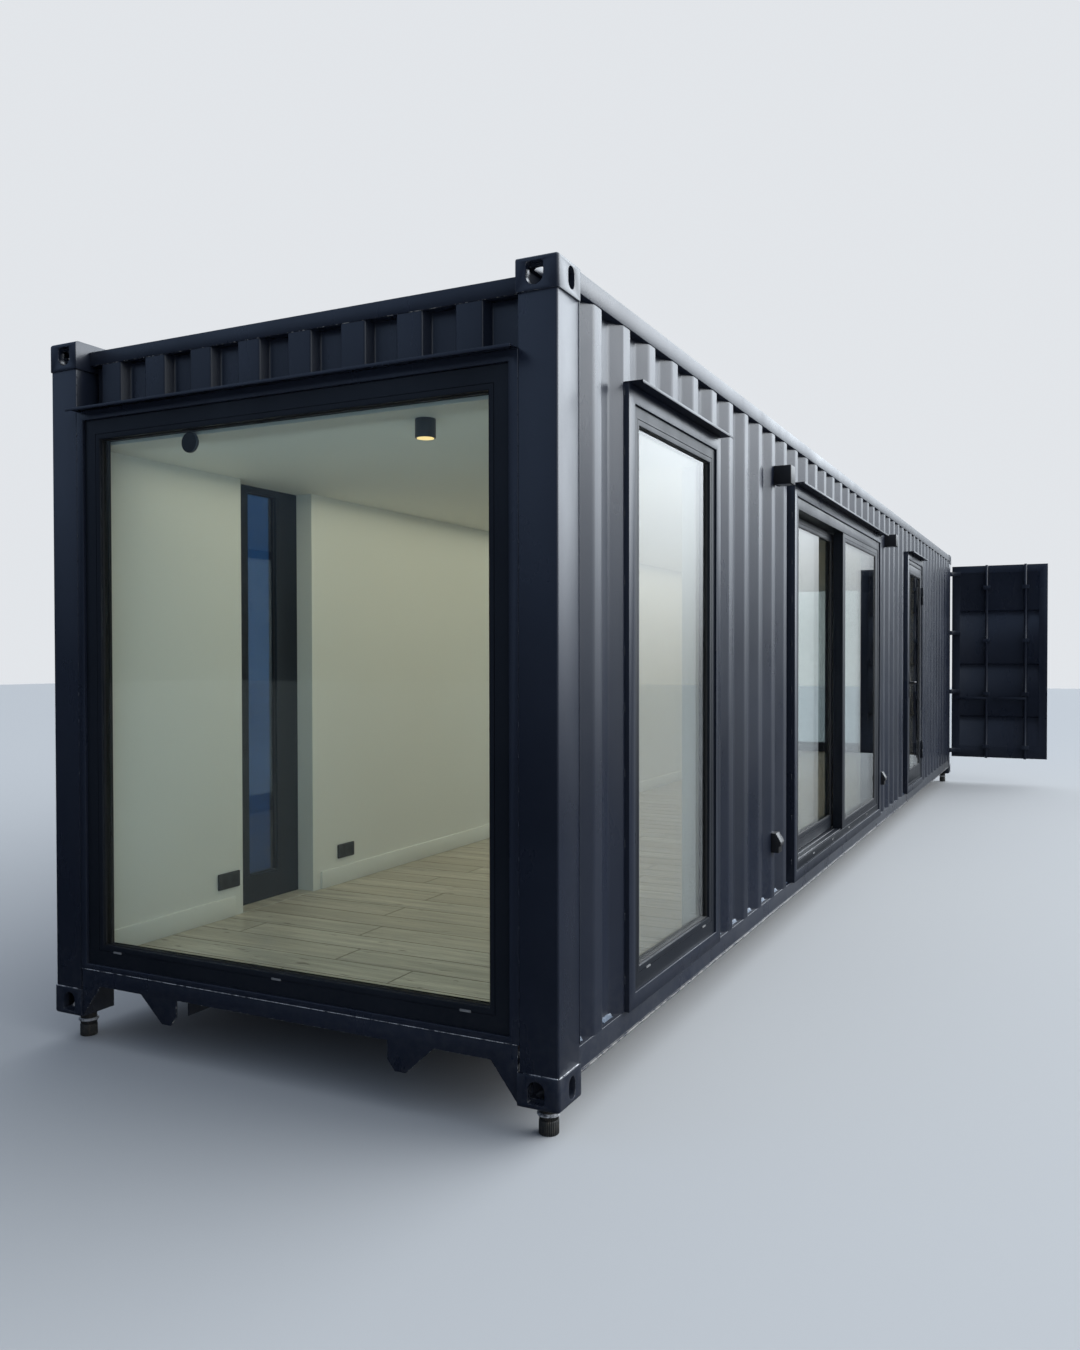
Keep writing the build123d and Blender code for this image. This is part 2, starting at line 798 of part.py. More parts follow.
def cargo_panel():
    """The leaf as it stands closed: a tube frame with a panel folded into three channels."""
    x0 = leaf_outer_face - cargo_leaf_thickness
    outer = (leaf_start, leaf_end, leaf_low, leaf_high)
    inner = inset(outer, cargo_frame_width, cargo_frame_width, cargo_frame_bottom, cargo_frame_width)
    frame = end_ring(outer, inner, x0, leaf_outer_face)
    face = leaf_outer_face - cargo_panel_setback
    path = [(face, inner[2] - 1.0)]
    for height in cargo_channel_heights:
        middle = base_level + height
        half = cargo_channel_flat / 2
        deep = face - cargo_channel_depth
        path += [(face, middle - half - cargo_channel_slope), (deep, middle - half)]
        path += [(deep, middle + half), (face, middle + half + cargo_channel_slope / 3)]
    path.append((face, inner[3] + 1.0))
    panel = prism_y(sheet_outline(path, cargo_panel_thickness), inner[0] - 1.0, inner[1] + 1.0)
    return frame + panel


def hinge_blade(level):
    """Knuckle and strap of one hinge, on the closed leaf."""
    face = leaf_outer_face - hinge_x
    outline = [
        (12.0, 0.0),
        (12.0, 22.0),
        (-13.0, 34.0),
        (-22.0, 55.0),
        (face + 17.0, 96.0),
        (face + 17.0, hinge_blade_reach),
        (face, hinge_blade_reach),
        (face, leaf_start - hinge_y + 6.0),
        (-30.5, 27.0),
        (-24.0, 5.0),
        (-12.0, -2.0),
    ]
    points = [(hinge_x + a, hinge_y + b) for a, b in outline]
    z0 = level - hinge_knuckle_height / 2
    z1 = level + hinge_knuckle_height / 2
    arm = prism_z(points, z0, z1)
    knuckle = Pos(hinge_x, hinge_y, level) * Cylinder(hinge_knuckle_radius, hinge_knuckle_height)
    bore = Pos(hinge_x, hinge_y, level) * Cylinder(hinge_pin_radius + hinge_pin_clearance,
                                                   hinge_knuckle_height * 2)
    return arm + knuckle - bore


def hinge_lugs(level):
    """Two lugs on the rear post and the pin through them."""
    inner = hinge_knuckle_height / 2 + hinge_axial_clearance
    outer = inner + hinge_lug_height
    face = rear_face - rear_post_setback
    shape = None
    for z0, z1 in ((level - outer, level - inner), (level + inner, level + outer)):
        plate = block(face, hinge_x, hinge_y - hinge_knuckle_radius, hinge_y + hinge_knuckle_radius, z0, z1)
        knuckle = Pos(hinge_x, hinge_y, (z0 + z1) / 2) * Cylinder(hinge_knuckle_radius, z1 - z0)
        lug = plate + knuckle
        shape = lug if shape is None else shape + lug
    pin = Pos(hinge_x, hinge_y, level) * Cylinder(hinge_pin_radius, 2 * outer)
    return shape + pin


def spread(count, from_bottom, from_top):
    """Levels of a row of like fittings, evenly from the lowest to the highest."""
    low = base_level + from_bottom
    high = top_level - from_top
    return [low + (high - low) * i / (count - 1) for i in range(count)]


def locking_bar(place):
    y = leaf_start + place
    x = leaf_outer_face + locking_bar_offset
    length = leaf_high - leaf_low + 2 * locking_bar_end
    bar = Pos(x, y, (leaf_low + leaf_high) / 2) * Cylinder(locking_bar_radius, length)
    shape = bar
    for z in spread(bar_guide_count, bar_guide_from_bottom, bar_guide_from_top):
        guide = block(leaf_outer_face, x + locking_bar_radius + 5.0, y - bar_guide_width / 2,
                      y + bar_guide_width / 2, z - bar_guide_height / 2, z + bar_guide_height / 2)
        shape = shape + guide
    handle_z = base_level + bar_handle_height
    handle = block(x + locking_bar_radius - 4.0, x + locking_bar_radius + 6.0, y - bar_handle_length, y,
                   handle_z - 16.0, handle_z + 16.0)
    return shape + handle


def open_leaf(shape):
    """Turn a piece of the closed leaf half a turn about its hinge pins."""
    turned = Pos(hinge_x, hinge_y, 0) * Rot(0, 0, 180) * Pos(-hinge_x, -hinge_y, 0) * shape
    return turned


def rear_header():
    x1 = rear_face - header_drop
    y0 = right_face + casting_width
    y1 = left_face - casting_width
    top = top_level - header_drop
    outline = rectangle(x1 - header_depth, x1, top - header_height, top)
    w = top_rail_wall
    bore = rectangle(x1 - header_depth + w, x1 - w, top - header_height + w, top - w)
    return prism_y(outline, y0, y1) - prism_y(bore, y0, y1)


def rear_sill():
    x1 = rear_face - header_drop
    y0 = right_face + casting_width
    y1 = left_face - casting_width
    bottom = base_level + sill_bottom
    outline = rectangle(x1 - header_depth, x1, bottom, bottom + sill_height)
    w = bottom_rail_wall
    bore = rectangle(x1 - header_depth + w, x1 - w, bottom + w, bottom + sill_height - w)
    return prism_y(outline, y0, y1) - prism_y(bore, y0, y1)


# Underframe
rail_inner = right_face + bottom_rail_setback + bottom_rail_wall
deck_edge = right_face + bottom_rail_setback + bottom_rail_flange
deck_bottom = deck_top - deck_thickness
tunnel_start = front_face + front_rail_setback + front_rail_depth


def cross_member(x, y0, y1):
    z1 = deck_bottom
    z0 = z1 - cross_member_height
    path = [(x + cross_member_flange, z1), (x, z1), (x, z0), (x + cross_member_flange, z0)]
    return prism_y(sheet_outline(path, cross_member_wall), y0, y1)


def cross_members():
    members = []
    tunnel_side = middle_y - tunnel_width / 2 - tunnel_plate
    x = front_face + cross_member_inset
    while x < rear_face - header_drop - header_depth - cross_member_flange:
        if x < tunnel_start + tunnel_length:
            stub = cross_member(x, rail_inner, tunnel_side)
            members += [stub, mirror_left(stub)]
        else:
            members.append(cross_member(x, rail_inner, 2 * middle_y - rail_inner))
        x += cross_member_pitch
    return members


tunnel_top_level = base_level + tunnel_top


def tunnel_side_member():
    """The upright plate that the cross members of one side end on."""
    y1 = middle_y - tunnel_width / 2
    return block(tunnel_start, tunnel_start + tunnel_length, y1 - tunnel_plate, y1,
                 tunnel_top_level - tunnel_side_drop, tunnel_top_level + tunnel_plate)


def gooseneck_tunnel():
    """The roof plate of the tunnel, between its side members."""
    half = tunnel_width / 2
    return block(tunnel_start, tunnel_start + tunnel_length, middle_y - half, middle_y + half,
                 tunnel_top_level, tunnel_top_level + tunnel_plate)


# Build and write every piece
write("corner_castings", *four_corners(corner_casting(True)), *four_corners(corner_casting(False)))
write("levelling_feet", *four_corners(foot()))
post = front_post()
write("front_corner_posts", post, mirror_left(post))
hinge_levels = spread(hinge_count, hinge_from_bottom, hinge_from_top)
hinges = [hinge_lugs(level) for level in hinge_levels]
rear = rear_post()
for lugs in hinges:
    rear = rear + lugs
write("rear_corner_posts", rear, mirror_left(rear))
rail = top_side_rail()
write("top_side_rails", rail, mirror_left(rail))
rail = bottom_side_rail()
write("bottom_side_rails", rail, mirror_left(rail))
write("front_top_rail", front_top_rail())
write("front_bottom_rail", front_bottom_rail())
write("door_header", rear_header())
write("door_sill", rear_sill())
write("cross_members", *cross_members())
write("gooseneck_tunnel", gooseneck_tunnel())
member = tunnel_side_member()
write("tunnel_side_members", member, mirror_left(member))
write("roof_panel", roof_panel())
write("front_header_panel", front_header_panel())

right_walls = wall_between(right_openings, front_post_end, rear_post_start)
write("right_wall_panels", *[side_skin(a, b, rail_top, top_rail_bottom) for a, b in right_walls])
header_start = surround_top + ledge_thickness
write("right_wall_headers", *[side_skin(o[0], o[1], header_start, top_rail_bottom) for o in right_openings])
left_wall = side_skin(front_post_end, rear_post_start, rail_top, top_rail_bottom)
left_hole = block(left_window[0], left_window[1], crest_plane - 9.0, lining_back + 9.0, rail_top, header_start)
write("left_wall_panel", mirror_left(left_wall - left_hole))

deck_start = front_post_face + front_post_inner_return
deck = block(deck_start, end_wall_start + 90.0, deck_edge, 2 * middle_y - deck_edge, deck_bottom, deck_top)
write("floor_deck", deck)
room_start = front_post_face + end_wall_depth
room_end = end_wall_start
left_lining_face = 2 * middle_y - lining_face
write("floor_planks", block(room_start, room_end, lining_face, left_lining_face, deck_top, floor_level))
write("ceiling", block(room_start, room_end, lining_face, left_lining_face, ceiling_level,
                       ceiling_level + ceiling_thickness))

lining_top = ceiling_level + ceiling_thickness
right_linings = wall_between(right_openings, room_start, room_end)
right_lining = [block(a, b, lining_back, lining_face, deck_top, lining_top) for a, b in right_linings]
left_linings = wall_between([left_window], room_start, room_end)
left_lining = [mirror_left(block(a, b, lining_back, lining_face, deck_top, lining_top))
               for a, b in left_linings]
write("wall_lining", *right_lining, *left_lining)
skirting_top = floor_level + skirting_height
skirtings = [block(a, b, lining_face, lining_face + skirting_thickness, floor_level, skirting_top)
             for a, b in right_linings]
skirtings += [mirror_left(block(a, b, lining_face, lining_face + skirting_thickness, floor_level,
                                skirting_top)) for a, b in left_linings]
write("skirting_boards", *skirtings)

# Front window
front_opening = (front_post_edge, 2 * middle_y - front_post_edge,
                 base_level + front_rail_bottom + front_rail_height, surround_top)
front_clear = inset(front_opening, front_surround_width, front_surround_width, front_surround_sill,
                    front_surround_head)
front_profile_face = front_post_face + front_profile_setback
front_frame_back = front_profile_face + profile_depth
write("front_window_surround", end_ring(front_opening, front_clear, front_post_face, front_frame_back))
room_box = (front_clear[0], front_clear[1], floor_level, ceiling_level)
front_reveal = end_ring(front_opening, room_box, front_frame_back, room_start)
front_sight = inset(front_clear, front_profile_width, front_profile_width, front_profile_width,
                    front_profile_width)
front_pane_box = inset(front_sight, -glass_cover, -glass_cover, -glass_cover, -glass_cover)
pane_start = front_profile_face + glass_setback
front_pane = block(pane_start, pane_start + glass_thickness, *front_pane_box)
front_frame = end_ring(front_clear, front_sight, front_profile_face, front_frame_back)
front_ledge_top = surround_top + ledge_thickness
front_ledge_edge = front_post_face - ledge_projection
ledge_path = [(front_face + end_setback, front_ledge_top), (front_ledge_edge, front_ledge_top),
              (front_ledge_edge, front_ledge_top - ledge_lip)]
front_ledge = prism_y(sheet_outline(ledge_path, ledge_thickness), front_opening[0], front_opening[1])
right_ledges = [drip_ledge(opening) for opening in right_openings]
write("drip_ledges", front_ledge, *right_ledges, mirror_left(drip_ledge(left_window)))

# End wall behind the cargo doors, glazed like the front
end_outer = (lining_back, 2 * middle_y - lining_back, deck_top, top_rail_bottom)
end_clear = (front_clear[0], front_clear[1], floor_level + 35.0, front_clear[3])
write("rear_end_wall", end_ring(end_outer, end_clear, end_wall_start, rear_post_start))
rear_sight = inset(end_clear, front_profile_width, front_profile_width, front_profile_width,
                   front_profile_width)
rear_pane_box = inset(rear_sight, -glass_cover, -glass_cover, -glass_cover, -glass_cover)
rear_profile_face = rear_post_start - front_profile_setback
pane_end = rear_profile_face - glass_setback
rear_pane = block(pane_end - glass_thickness, pane_end, *rear_pane_box)
rear_frame = end_ring(end_clear, rear_sight, rear_profile_face - profile_depth, rear_profile_face)
write("end_window_frames", front_frame - front_pane, rear_frame - rear_pane)
write("end_window_glass", front_pane, rear_pane)

# Side windows and doors
write("side_window_surrounds", surround(right_window), mirror_left(surround(left_window)))
right_frame, right_pane = fixed_window(right_window, fixed_profile_width, fixed_profile_sill,
                                       fixed_profile_width)
left_frame, left_pane = fixed_window(left_window, left_profile_width, left_profile_sill, left_profile_head)
window_back = profile_face + profile_depth
sliding_back = profile_face + sliding_profile_depth
reveals = [reveal(right_window, window_back), reveal(sliding_opening, sliding_back)]
reveals += [reveal(door_opening, door_frame_back), mirror_left(reveal(left_window, window_back))]
write("reveal_linings", front_reveal, *reveals)
write("side_window_frames", right_frame, mirror_left(left_frame))
write("side_window_glass", right_pane, mirror_left(left_pane))
write("sliding_door_surround", surround(sliding_opening))
write("sliding_door_frame", sliding_frame())
fixed, moving = sliding_leaves()
write("fixed_leaf_frame", fixed[0])
write("fixed_leaf_glass", fixed[1])
write("sliding_leaf_frame", moving[0])
write("sliding_leaf_glass", moving[1])
write("glazed_door_surround", surround(door_opening))
jamb = door_frame()
for level in door_hinge_levels():
    jamb = jamb + door_hinge(level, "jamb")
write("glazed_door_frame", jamb)
leaf, pane = door_leaf()
for level in door_hinge_levels():
    leaf = leaf + door_hinge(level, "leaf")
write("glazed_door_leaf", leaf)
write("glazed_door_glass", pane)

# Lever handle and its plates
plate_x0 = lever_x - lever_plate_width / 2
plate_x1 = lever_x + lever_plate_width / 2
plate_z0 = lever_height - lever_plate_height * 0.6
plate_z1 = plate_z0 + lever_plate_height
outer_plate = block(plate_x0, plate_x1, profile_face - lever_plate_thickness, profile_face, plate_z0, plate_z1)
leaf_back = profile_face + door_leaf_thickness
inner_plate = block(plate_x0, plate_x1, leaf_back, leaf_back + lever_plate_thickness, plate_z0, plate_z1)
spindle_hole = Cylinder(spindle_radius + spindle_clearance, door_leaf_thickness * 4)
spindle_hole = Pos(lever_x, profile_face, lever_height) * Rot(90, 0, 0) * spindle_hole
write("handle_plates", outer_plate - spindle_hole, inner_plate - spindle_hole)
spindle_y0 = profile_face - lever_plate_thickness - 2.0
spindle_y1 = leaf_back + lever_plate_thickness + 2.0
spindle = Cylinder(spindle_radius, spindle_y1 - spindle_y0)
spindle = Pos(lever_x, (spindle_y0 + spindle_y1) / 2, lever_height) * Rot(90, 0, 0) * spindle
write("lever_handle", lever_set(profile_face, -1) + spindle + lever_set(leaf_back, 1))

# Cargo doors: both leaves stand open in line with the end
closed_leaf = cargo_panel()
closed_bars = [locking_bar(place) for place in locking_bar_places]
closed_blades = None
for level in hinge_levels:
    blade = hinge_blade(level)
    closed_blades = blade if closed_blades is None else closed_blades + blade
right_leaf = open_leaf(closed_leaf + closed_blades)
right_bars = [open_leaf(bar) for bar in closed_bars]
write("right_cargo_leaf", right_leaf)
write("right_locking_bars", *right_bars)
write("left_cargo_leaf", mirror_left(right_leaf))
write("left_locking_bars", *[mirror_left(bar) for bar in right_bars])

# Lamps, sockets, ceiling spot and vent
lamps = []
for x in lamp_places:
    z1 = top_level - lamp_from_top + lamp_height / 2
    z0 = z1 - lamp_height
    lamp = block(x - lamp_size / 2, x + lamp_size / 2, crest_plane - lamp_size, crest_plane, z0, z1)
    front_edges = lamp.edges().filter_by(Axis.Z).sort_by(Axis.Y)[:2]
    lamps.append(fillet(front_edges, lamp_edge_radius))
write("wall_lamps", *lamps)


def outdoor_socket(x):
    """A weatherproof socket: a box with a sloping lid that overhangs its lower half."""
    low = outdoor_socket_level - outdoor_socket_height / 2
    high = outdoor_socket_level + outdoor_socket_height / 2
    nose = crest_plane - outdoor_socket_depth
    outline = [
        (crest_plane, low),
        (nose + 12.0, low),
        (nose + 12.0, outdoor_socket_level - 20.0),
        (nose, outdoor_socket_level - 14.0),
        (nose, outdoor_socket_level + 6.0),
        (crest_plane - outdoor_socket_top_depth, high),
        (crest_plane, high),
    ]
    body = prism_x(outline, x - outdoor_socket_width / 2, x + outdoor_socket_width / 2)
    outer = [e for e in body.edges().filter_by(Axis.Z) if e.position_at(0.5).Y < crest_plane - 1.0]
    return fillet(outer, outdoor_socket_radius)


write("outdoor_sockets", *[outdoor_socket(x) for x in outdoor_socket_places])
indoor = []
for x in indoor_socket_places:
    half = indoor_socket_width / 2
    z0 = indoor_socket_level - indoor_socket_height / 2
    z1 = indoor_socket_level + indoor_socket_height / 2
    indoor.append(block(x - half, x + half, left_lining_face - indoor_socket_depth, left_lining_face, z0, z1))
write("indoor_sockets", *indoor)
spot = Cylinder(spot_radius, spot_height)
write("ceiling_spot", Pos(spot_place, lining_face + spot_from_wall, ceiling_level - spot_height / 2) * spot)
vent_x = pane_start + glass_thickness + vent_depth / 2
vent = Cylinder(vent_radius, vent_depth)
vent = chamfer(vent.edges().sort_by(Axis.Z)[-1], vent_depth / 3)
write("round_vent", Pos(vent_x, vent_place, ceiling_level - vent_from_ceiling) * Rot(0, 90, 0) * vent)
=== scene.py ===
# %% [markdown]
# # A freight container refitted as a cabin
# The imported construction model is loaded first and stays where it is. Every piece made below
# sits on it, in metres, in the same frame: +X from the glazed front to the cargo doors,
# +Y from the sliding door side to the other side, +Z up.

# %% Load the frame
import json
import math
import random

import bmesh
import bpy
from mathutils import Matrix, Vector, noise


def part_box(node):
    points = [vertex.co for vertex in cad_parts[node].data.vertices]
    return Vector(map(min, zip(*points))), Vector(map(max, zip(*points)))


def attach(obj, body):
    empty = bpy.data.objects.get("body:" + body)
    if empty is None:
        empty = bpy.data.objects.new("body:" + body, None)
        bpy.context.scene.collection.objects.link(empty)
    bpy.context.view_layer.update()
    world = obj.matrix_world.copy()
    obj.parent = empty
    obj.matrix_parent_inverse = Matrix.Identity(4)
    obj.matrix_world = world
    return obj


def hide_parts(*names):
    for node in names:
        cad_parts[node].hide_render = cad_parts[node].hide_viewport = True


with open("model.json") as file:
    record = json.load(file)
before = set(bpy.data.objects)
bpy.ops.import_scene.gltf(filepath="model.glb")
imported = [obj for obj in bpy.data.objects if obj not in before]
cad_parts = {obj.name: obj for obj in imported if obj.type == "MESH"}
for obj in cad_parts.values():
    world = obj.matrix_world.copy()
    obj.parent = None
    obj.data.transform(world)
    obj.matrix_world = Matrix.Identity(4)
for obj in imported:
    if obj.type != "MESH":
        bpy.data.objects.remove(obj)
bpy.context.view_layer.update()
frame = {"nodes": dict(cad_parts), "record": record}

random.seed(7)
record = frame["record"]
body_of = {node: body for body, nodes in record["behaviour"]["bodies"].items() for node in nodes}
slot_of = {row["node"]: row["material_slot"] for row in record["subparts"]}

# %% [markdown]
# ## Camera
# The view stands at eye height, close to the glazed front and off its right corner, with a wide
# lens. A wide lens close up is what makes the long side run away so fast to the horizon.
# A camera could be aimed with a Track To constraint at a point on the cabin, but then it can't
# be rolled. So it gets a heading, a small pitch and a very small roll, and the lens is worked
# out from the picture's height in pixels.

# %% Camera
camera_place = Vector((-3.3825, -1.6525, 1.656))
heading, pitch, roll = math.radians(26.48), math.radians(-0.9), math.radians(-0.09)
focal_pixels, frame_height_pixels = 1086.7, 1350.0

camera_data = bpy.data.cameras.new("camera")
camera_data.sensor_fit = "VERTICAL"
camera_data.sensor_height = 36.0
camera_data.lens = focal_pixels / frame_height_pixels * camera_data.sensor_height
camera_data.clip_start = 0.05
camera_data.clip_end = 200.0
camera = bpy.data.objects.new("camera", camera_data)
bpy.context.scene.collection.objects.link(camera)
flat = math.cos(pitch)
forward = Vector((math.cos(heading) * flat, math.sin(heading) * flat, math.sin(pitch)))
camera.rotation_euler = forward.to_track_quat("-Z", "Y").to_euler()
camera.rotation_euler.rotate_axis("Z", roll)
camera.location = camera_place
bpy.context.scene.camera = camera
print("lens", round(camera_data.lens, 2), "mm")

# %% [markdown]
# ## Small tools
# A piece is a mesh made with bmesh, the toolbox for building a mesh corner by corner.
# Primitives and modifiers would need an object for every part of a piece, and bmesh makes the
# whole piece at once. The piece is shaded smooth except at edges sharper than a set angle, and
# then told which body it moves with and which finish it has, and the plain nodes it stands for
# are hidden.

# %% A finished piece from a bmesh
SMOOTH_ANGLE = math.radians(35)


def add_piece(name, bm, body, material, stands_for=()):
    bmesh.ops.recalc_face_normals(bm, faces=bm.faces)
    mesh = bpy.data.meshes.new(name)
    bm.to_mesh(mesh)
    bm.free()
    mesh.shade_smooth()
    mesh.set_sharp_from_angle(angle=SMOOTH_ANGLE)
    piece = bpy.data.objects.new(name, mesh)
    bpy.context.scene.collection.objects.link(piece)
    piece.data.materials.append(material)
    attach(piece, body)
    if stands_for:
        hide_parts(*stands_for)
    return piece


print("edges up to", round(math.degrees(SMOOTH_ANGLE)), "degrees are shaded smooth")

# %% [markdown]
# The steel parts of the construction model have knife-sharp edges. Real folded and rolled
# steel has a small radius that catches the light, and without it a render looks like cardboard.
# The radius could be faked with a Bevel node in the material, but only geometry keeps it in the
# meshes themselves. So a Bevel modifier rounds the edges and is then turned into real mesh.

# %% Rounded edges
def bevel_edges(piece, width, strip=None):
    """Rounds every edge sharper than 40 degrees; strip is a finish for the rounded edges."""
    bevel = piece.modifiers.new("eased", "BEVEL")
    if strip:
        piece.data.materials.append(strip)
        bevel.material = 1
    bevel.width = width
    bevel.segments = 2
    bevel.limit_method = "ANGLE"
    bevel.angle_limit = math.radians(40)
    bevel.use_clamp_overlap = True
    graph = bpy.context.evaluated_depsgraph_get()
    rounded = bpy.data.meshes.new_from_object(piece.evaluated_get(graph))
    piece.modifiers.clear()
    piece.data = rounded
    rounded.shade_smooth()
    rounded.set_sharp_from_angle(angle=SMOOTH_ANGLE)


# %% [markdown]
# Many plain nodes already have the right shape. Such a node gets a copy of its mesh, because the
# construction model itself is never changed. Its flat areas are cut into triangles, so corners
# that coincide are merged and flat areas joined again before the edges are rounded.

# %% A copy of a node with eased edges
def eased_copy(node, width, material, strip=None):
    bm = bmesh.new()
    bm.from_mesh(frame["nodes"][node].data)
    bmesh.ops.remove_doubles(bm, verts=bm.verts, dist=0.00002)
    bmesh.ops.dissolve_limit(bm, angle_limit=math.radians(1.0), verts=bm.verts, edges=bm.edges)
    piece = add_piece(node + "_eased", bm, body_of[node], material, [node])
    bevel_edges(piece, width, strip)


# %% [markdown]
# ## Finishes
# Every finish starts as one Principled shader with plain numbers for colour, roughness, metal
# and sheen. Paint, rubber and steel differ in little more than these four, so they are worth
# getting right before any pattern is added.

# %% A plain finish
def surface(material):
    """The sockets of the material's own shader."""
    return material.node_tree.nodes["Principled BSDF"].inputs


def new_material(name, colour, roughness, metallic=0.0, specular=0.5):
    material = bpy.data.materials.new(name)
    material.use_nodes = True
    sockets = surface(material)
    sockets["Base Color"].default_value = (*colour, 1.0)
    sockets["Roughness"].default_value = roughness
    sockets["Metallic"].default_value = metallic
    sockets["Specular IOR Level"].default_value = specular
    return material


# %% [markdown]
# Patterns are added as nodes. In the node editor they are drawn and wired by hand. In a script
# two short functions do the same: one places a node and fills in its values, one draws a wire.

# %% Nodes and wires
def add_node(material, kind, **values):
    """A new node; each value goes to the input of that name, or else to the node's own setting."""
    node = material.node_tree.nodes.new(kind)
    for key, value in values.items():
        if key in node.inputs:
            node.inputs[key].default_value = value
        else:
            setattr(node, key, value)
    return node


def join(material, output, target):
    material.node_tree.links.new(output, target)


# %% [markdown]
# Real paint and metal are never even. An image of dirt would have to be unwrapped on every
# piece and would repeat. Noise in the object's own coordinates needs no unwrapping, and because
# those are metres here, a speck or a run keeps its real size on every piece.

# %% Noise in metres
def object_coordinates(material, scale=(1.0, 1.0, 1.0)):
    place = add_node(material, "ShaderNodeTexCoord")
    stretch = add_node(material, "ShaderNodeMapping")
    stretch.inputs["Scale"].default_value = scale
    join(material, place.outputs["Object"], stretch.inputs["Vector"])
    return stretch.outputs["Vector"]


def noise_field(material, size, detail=3.0, stretch=(1.0, 1.0, 1.0), roughness=0.55):
    """Noise whose blotches are about size metres across."""
    field = add_node(material, "ShaderNodeTexNoise", Scale=1.0 / size, Detail=detail, Roughness=roughness)
    join(material, object_coordinates(material, stretch), field.inputs["Vector"])
    return field.outputs["Fac"]


# %% [markdown]
# Noise runs from 0 to 1 with most of it near the middle. A range picks the part of it that
# matters, as a stencil would, and a blend lays one colour over another where it shows.

# %% Ranges, sums and blends
def remap(material, value, low, high, out_low, out_high, curve="LINEAR"):
    """Stretches the range low to high over out_low to out_high."""
    node = add_node(material, "ShaderNodeMapRange", interpolation_type=curve)
    for socket, number in (("From Min", low), ("From Max", high), ("To Min", out_low), ("To Max", out_high)):
        node.inputs[socket].default_value = number
    join(material, value, node.inputs["Value"])
    return node.outputs["Result"]


def combine(material, operation, a, b):
    """The sum, product or larger one of two outputs."""
    node = add_node(material, "ShaderNodeMath", operation=operation)
    join(material, a, node.inputs[0])
    join(material, b, node.inputs[1])
    return node.outputs[0]


def mix_colours(material, factor, first, second):
    node = add_node(material, "ShaderNodeMix", data_type="RGBA")
    join(material, factor, node.inputs["Factor"])
    for socket, value in ((node.inputs[6], first), (node.inputs[7], second)):
        if isinstance(value, tuple):
            socket.default_value = (*value, 1.0)
        else:
            join(material, value, socket)
    return node.outputs[2]


# %% [markdown]
# A surface also has a feel: orange peel on rolled paint, brush lines on metal. These are far
# too fine for geometry, so a bump only tilts the light on them.

# %% Bump
def bump(material, height, strength, distance):
    node = add_node(material, "ShaderNodeBump", Strength=strength, Distance=distance)
    join(material, height, node.inputs["Height"])
    join(material, node.outputs["Normal"], surface(material)["Normal"])


# %% [markdown]
# Some wear belongs to a height on the whole cabin, such as rain splash near the ground. All
# pieces share one frame, so the Z of the coordinates is the height above the ground.

# %% Height as a mask
def nearness_to_ground(material, low, high):
    """1 at the low level, 0 at the high level and above."""
    split = add_node(material, "ShaderNodeSeparateXYZ")
    join(material, object_coordinates(material), split.inputs["Vector"])
    return remap(material, split.outputs["Z"], low, high, 1.0, 0.0)


# %% [markdown]
# ### Cabin paint
# Dark anthracite paint rolled over steel: nearly black in the shade, with a cool satin sheen.
# It varies a little from sheet to sheet, is faintly stippled by the roller, and carries pale
# dust that splashing rain leaves on the lowest hand's breadth. One plain colour would look like
# plastic. The varying roughness matters most, because a dark satin shows little but reflections.

# %% Cabin paint
def painted_steel(name, colour, roughness, dust=0.15, stipple=0.0016, specular=0.5):
    material = new_material(name, colour, roughness, specular=specular)
    lighter = tuple(c * 1.5 + 0.004 for c in colour)
    cloud = noise_field(material, 0.8, 4.0)
    tone = mix_colours(material, remap(material, cloud, 0.35, 0.7, 0.0, 0.55), colour, lighter)
    splash = nearness_to_ground(material, 0.1, 0.55)
    speckle = noise_field(material, 0.03, 6.0, roughness=0.7)
    dusty = combine(material, "MULTIPLY", splash, remap(material, speckle, 0.42, 0.75, 0.0, dust))
    tone = mix_colours(material, dusty, tone, (0.16, 0.15, 0.135))
    join(material, tone, surface(material)["Base Color"])
    smear = noise_field(material, 0.25, 5.0, (1.0, 1.0, 0.35))
    join(material, remap(material, smear, 0.3, 0.75, roughness - 0.05, roughness + 0.1),
         surface(material)["Roughness"])
    bump(material, noise_field(material, 0.004, 2.0), 0.25, stipple)
    return material


CABIN_COLOUR = (0.0102, 0.0136, 0.0240)
cabin_paint = painted_steel("cabin_paint", CABIN_COLOUR, 0.29)
frame_coating = painted_steel("frame_coating", (0.0065, 0.0085, 0.0130), 0.38, dust=0.08, stipple=0.0008,
                              specular=0.28)
lamp_coating = painted_steel("lamp_coating", (0.014, 0.014, 0.016), 0.4, dust=0.0, stipple=0.0006)
print("cabin paint has", len(cabin_paint.node_tree.nodes), "nodes")
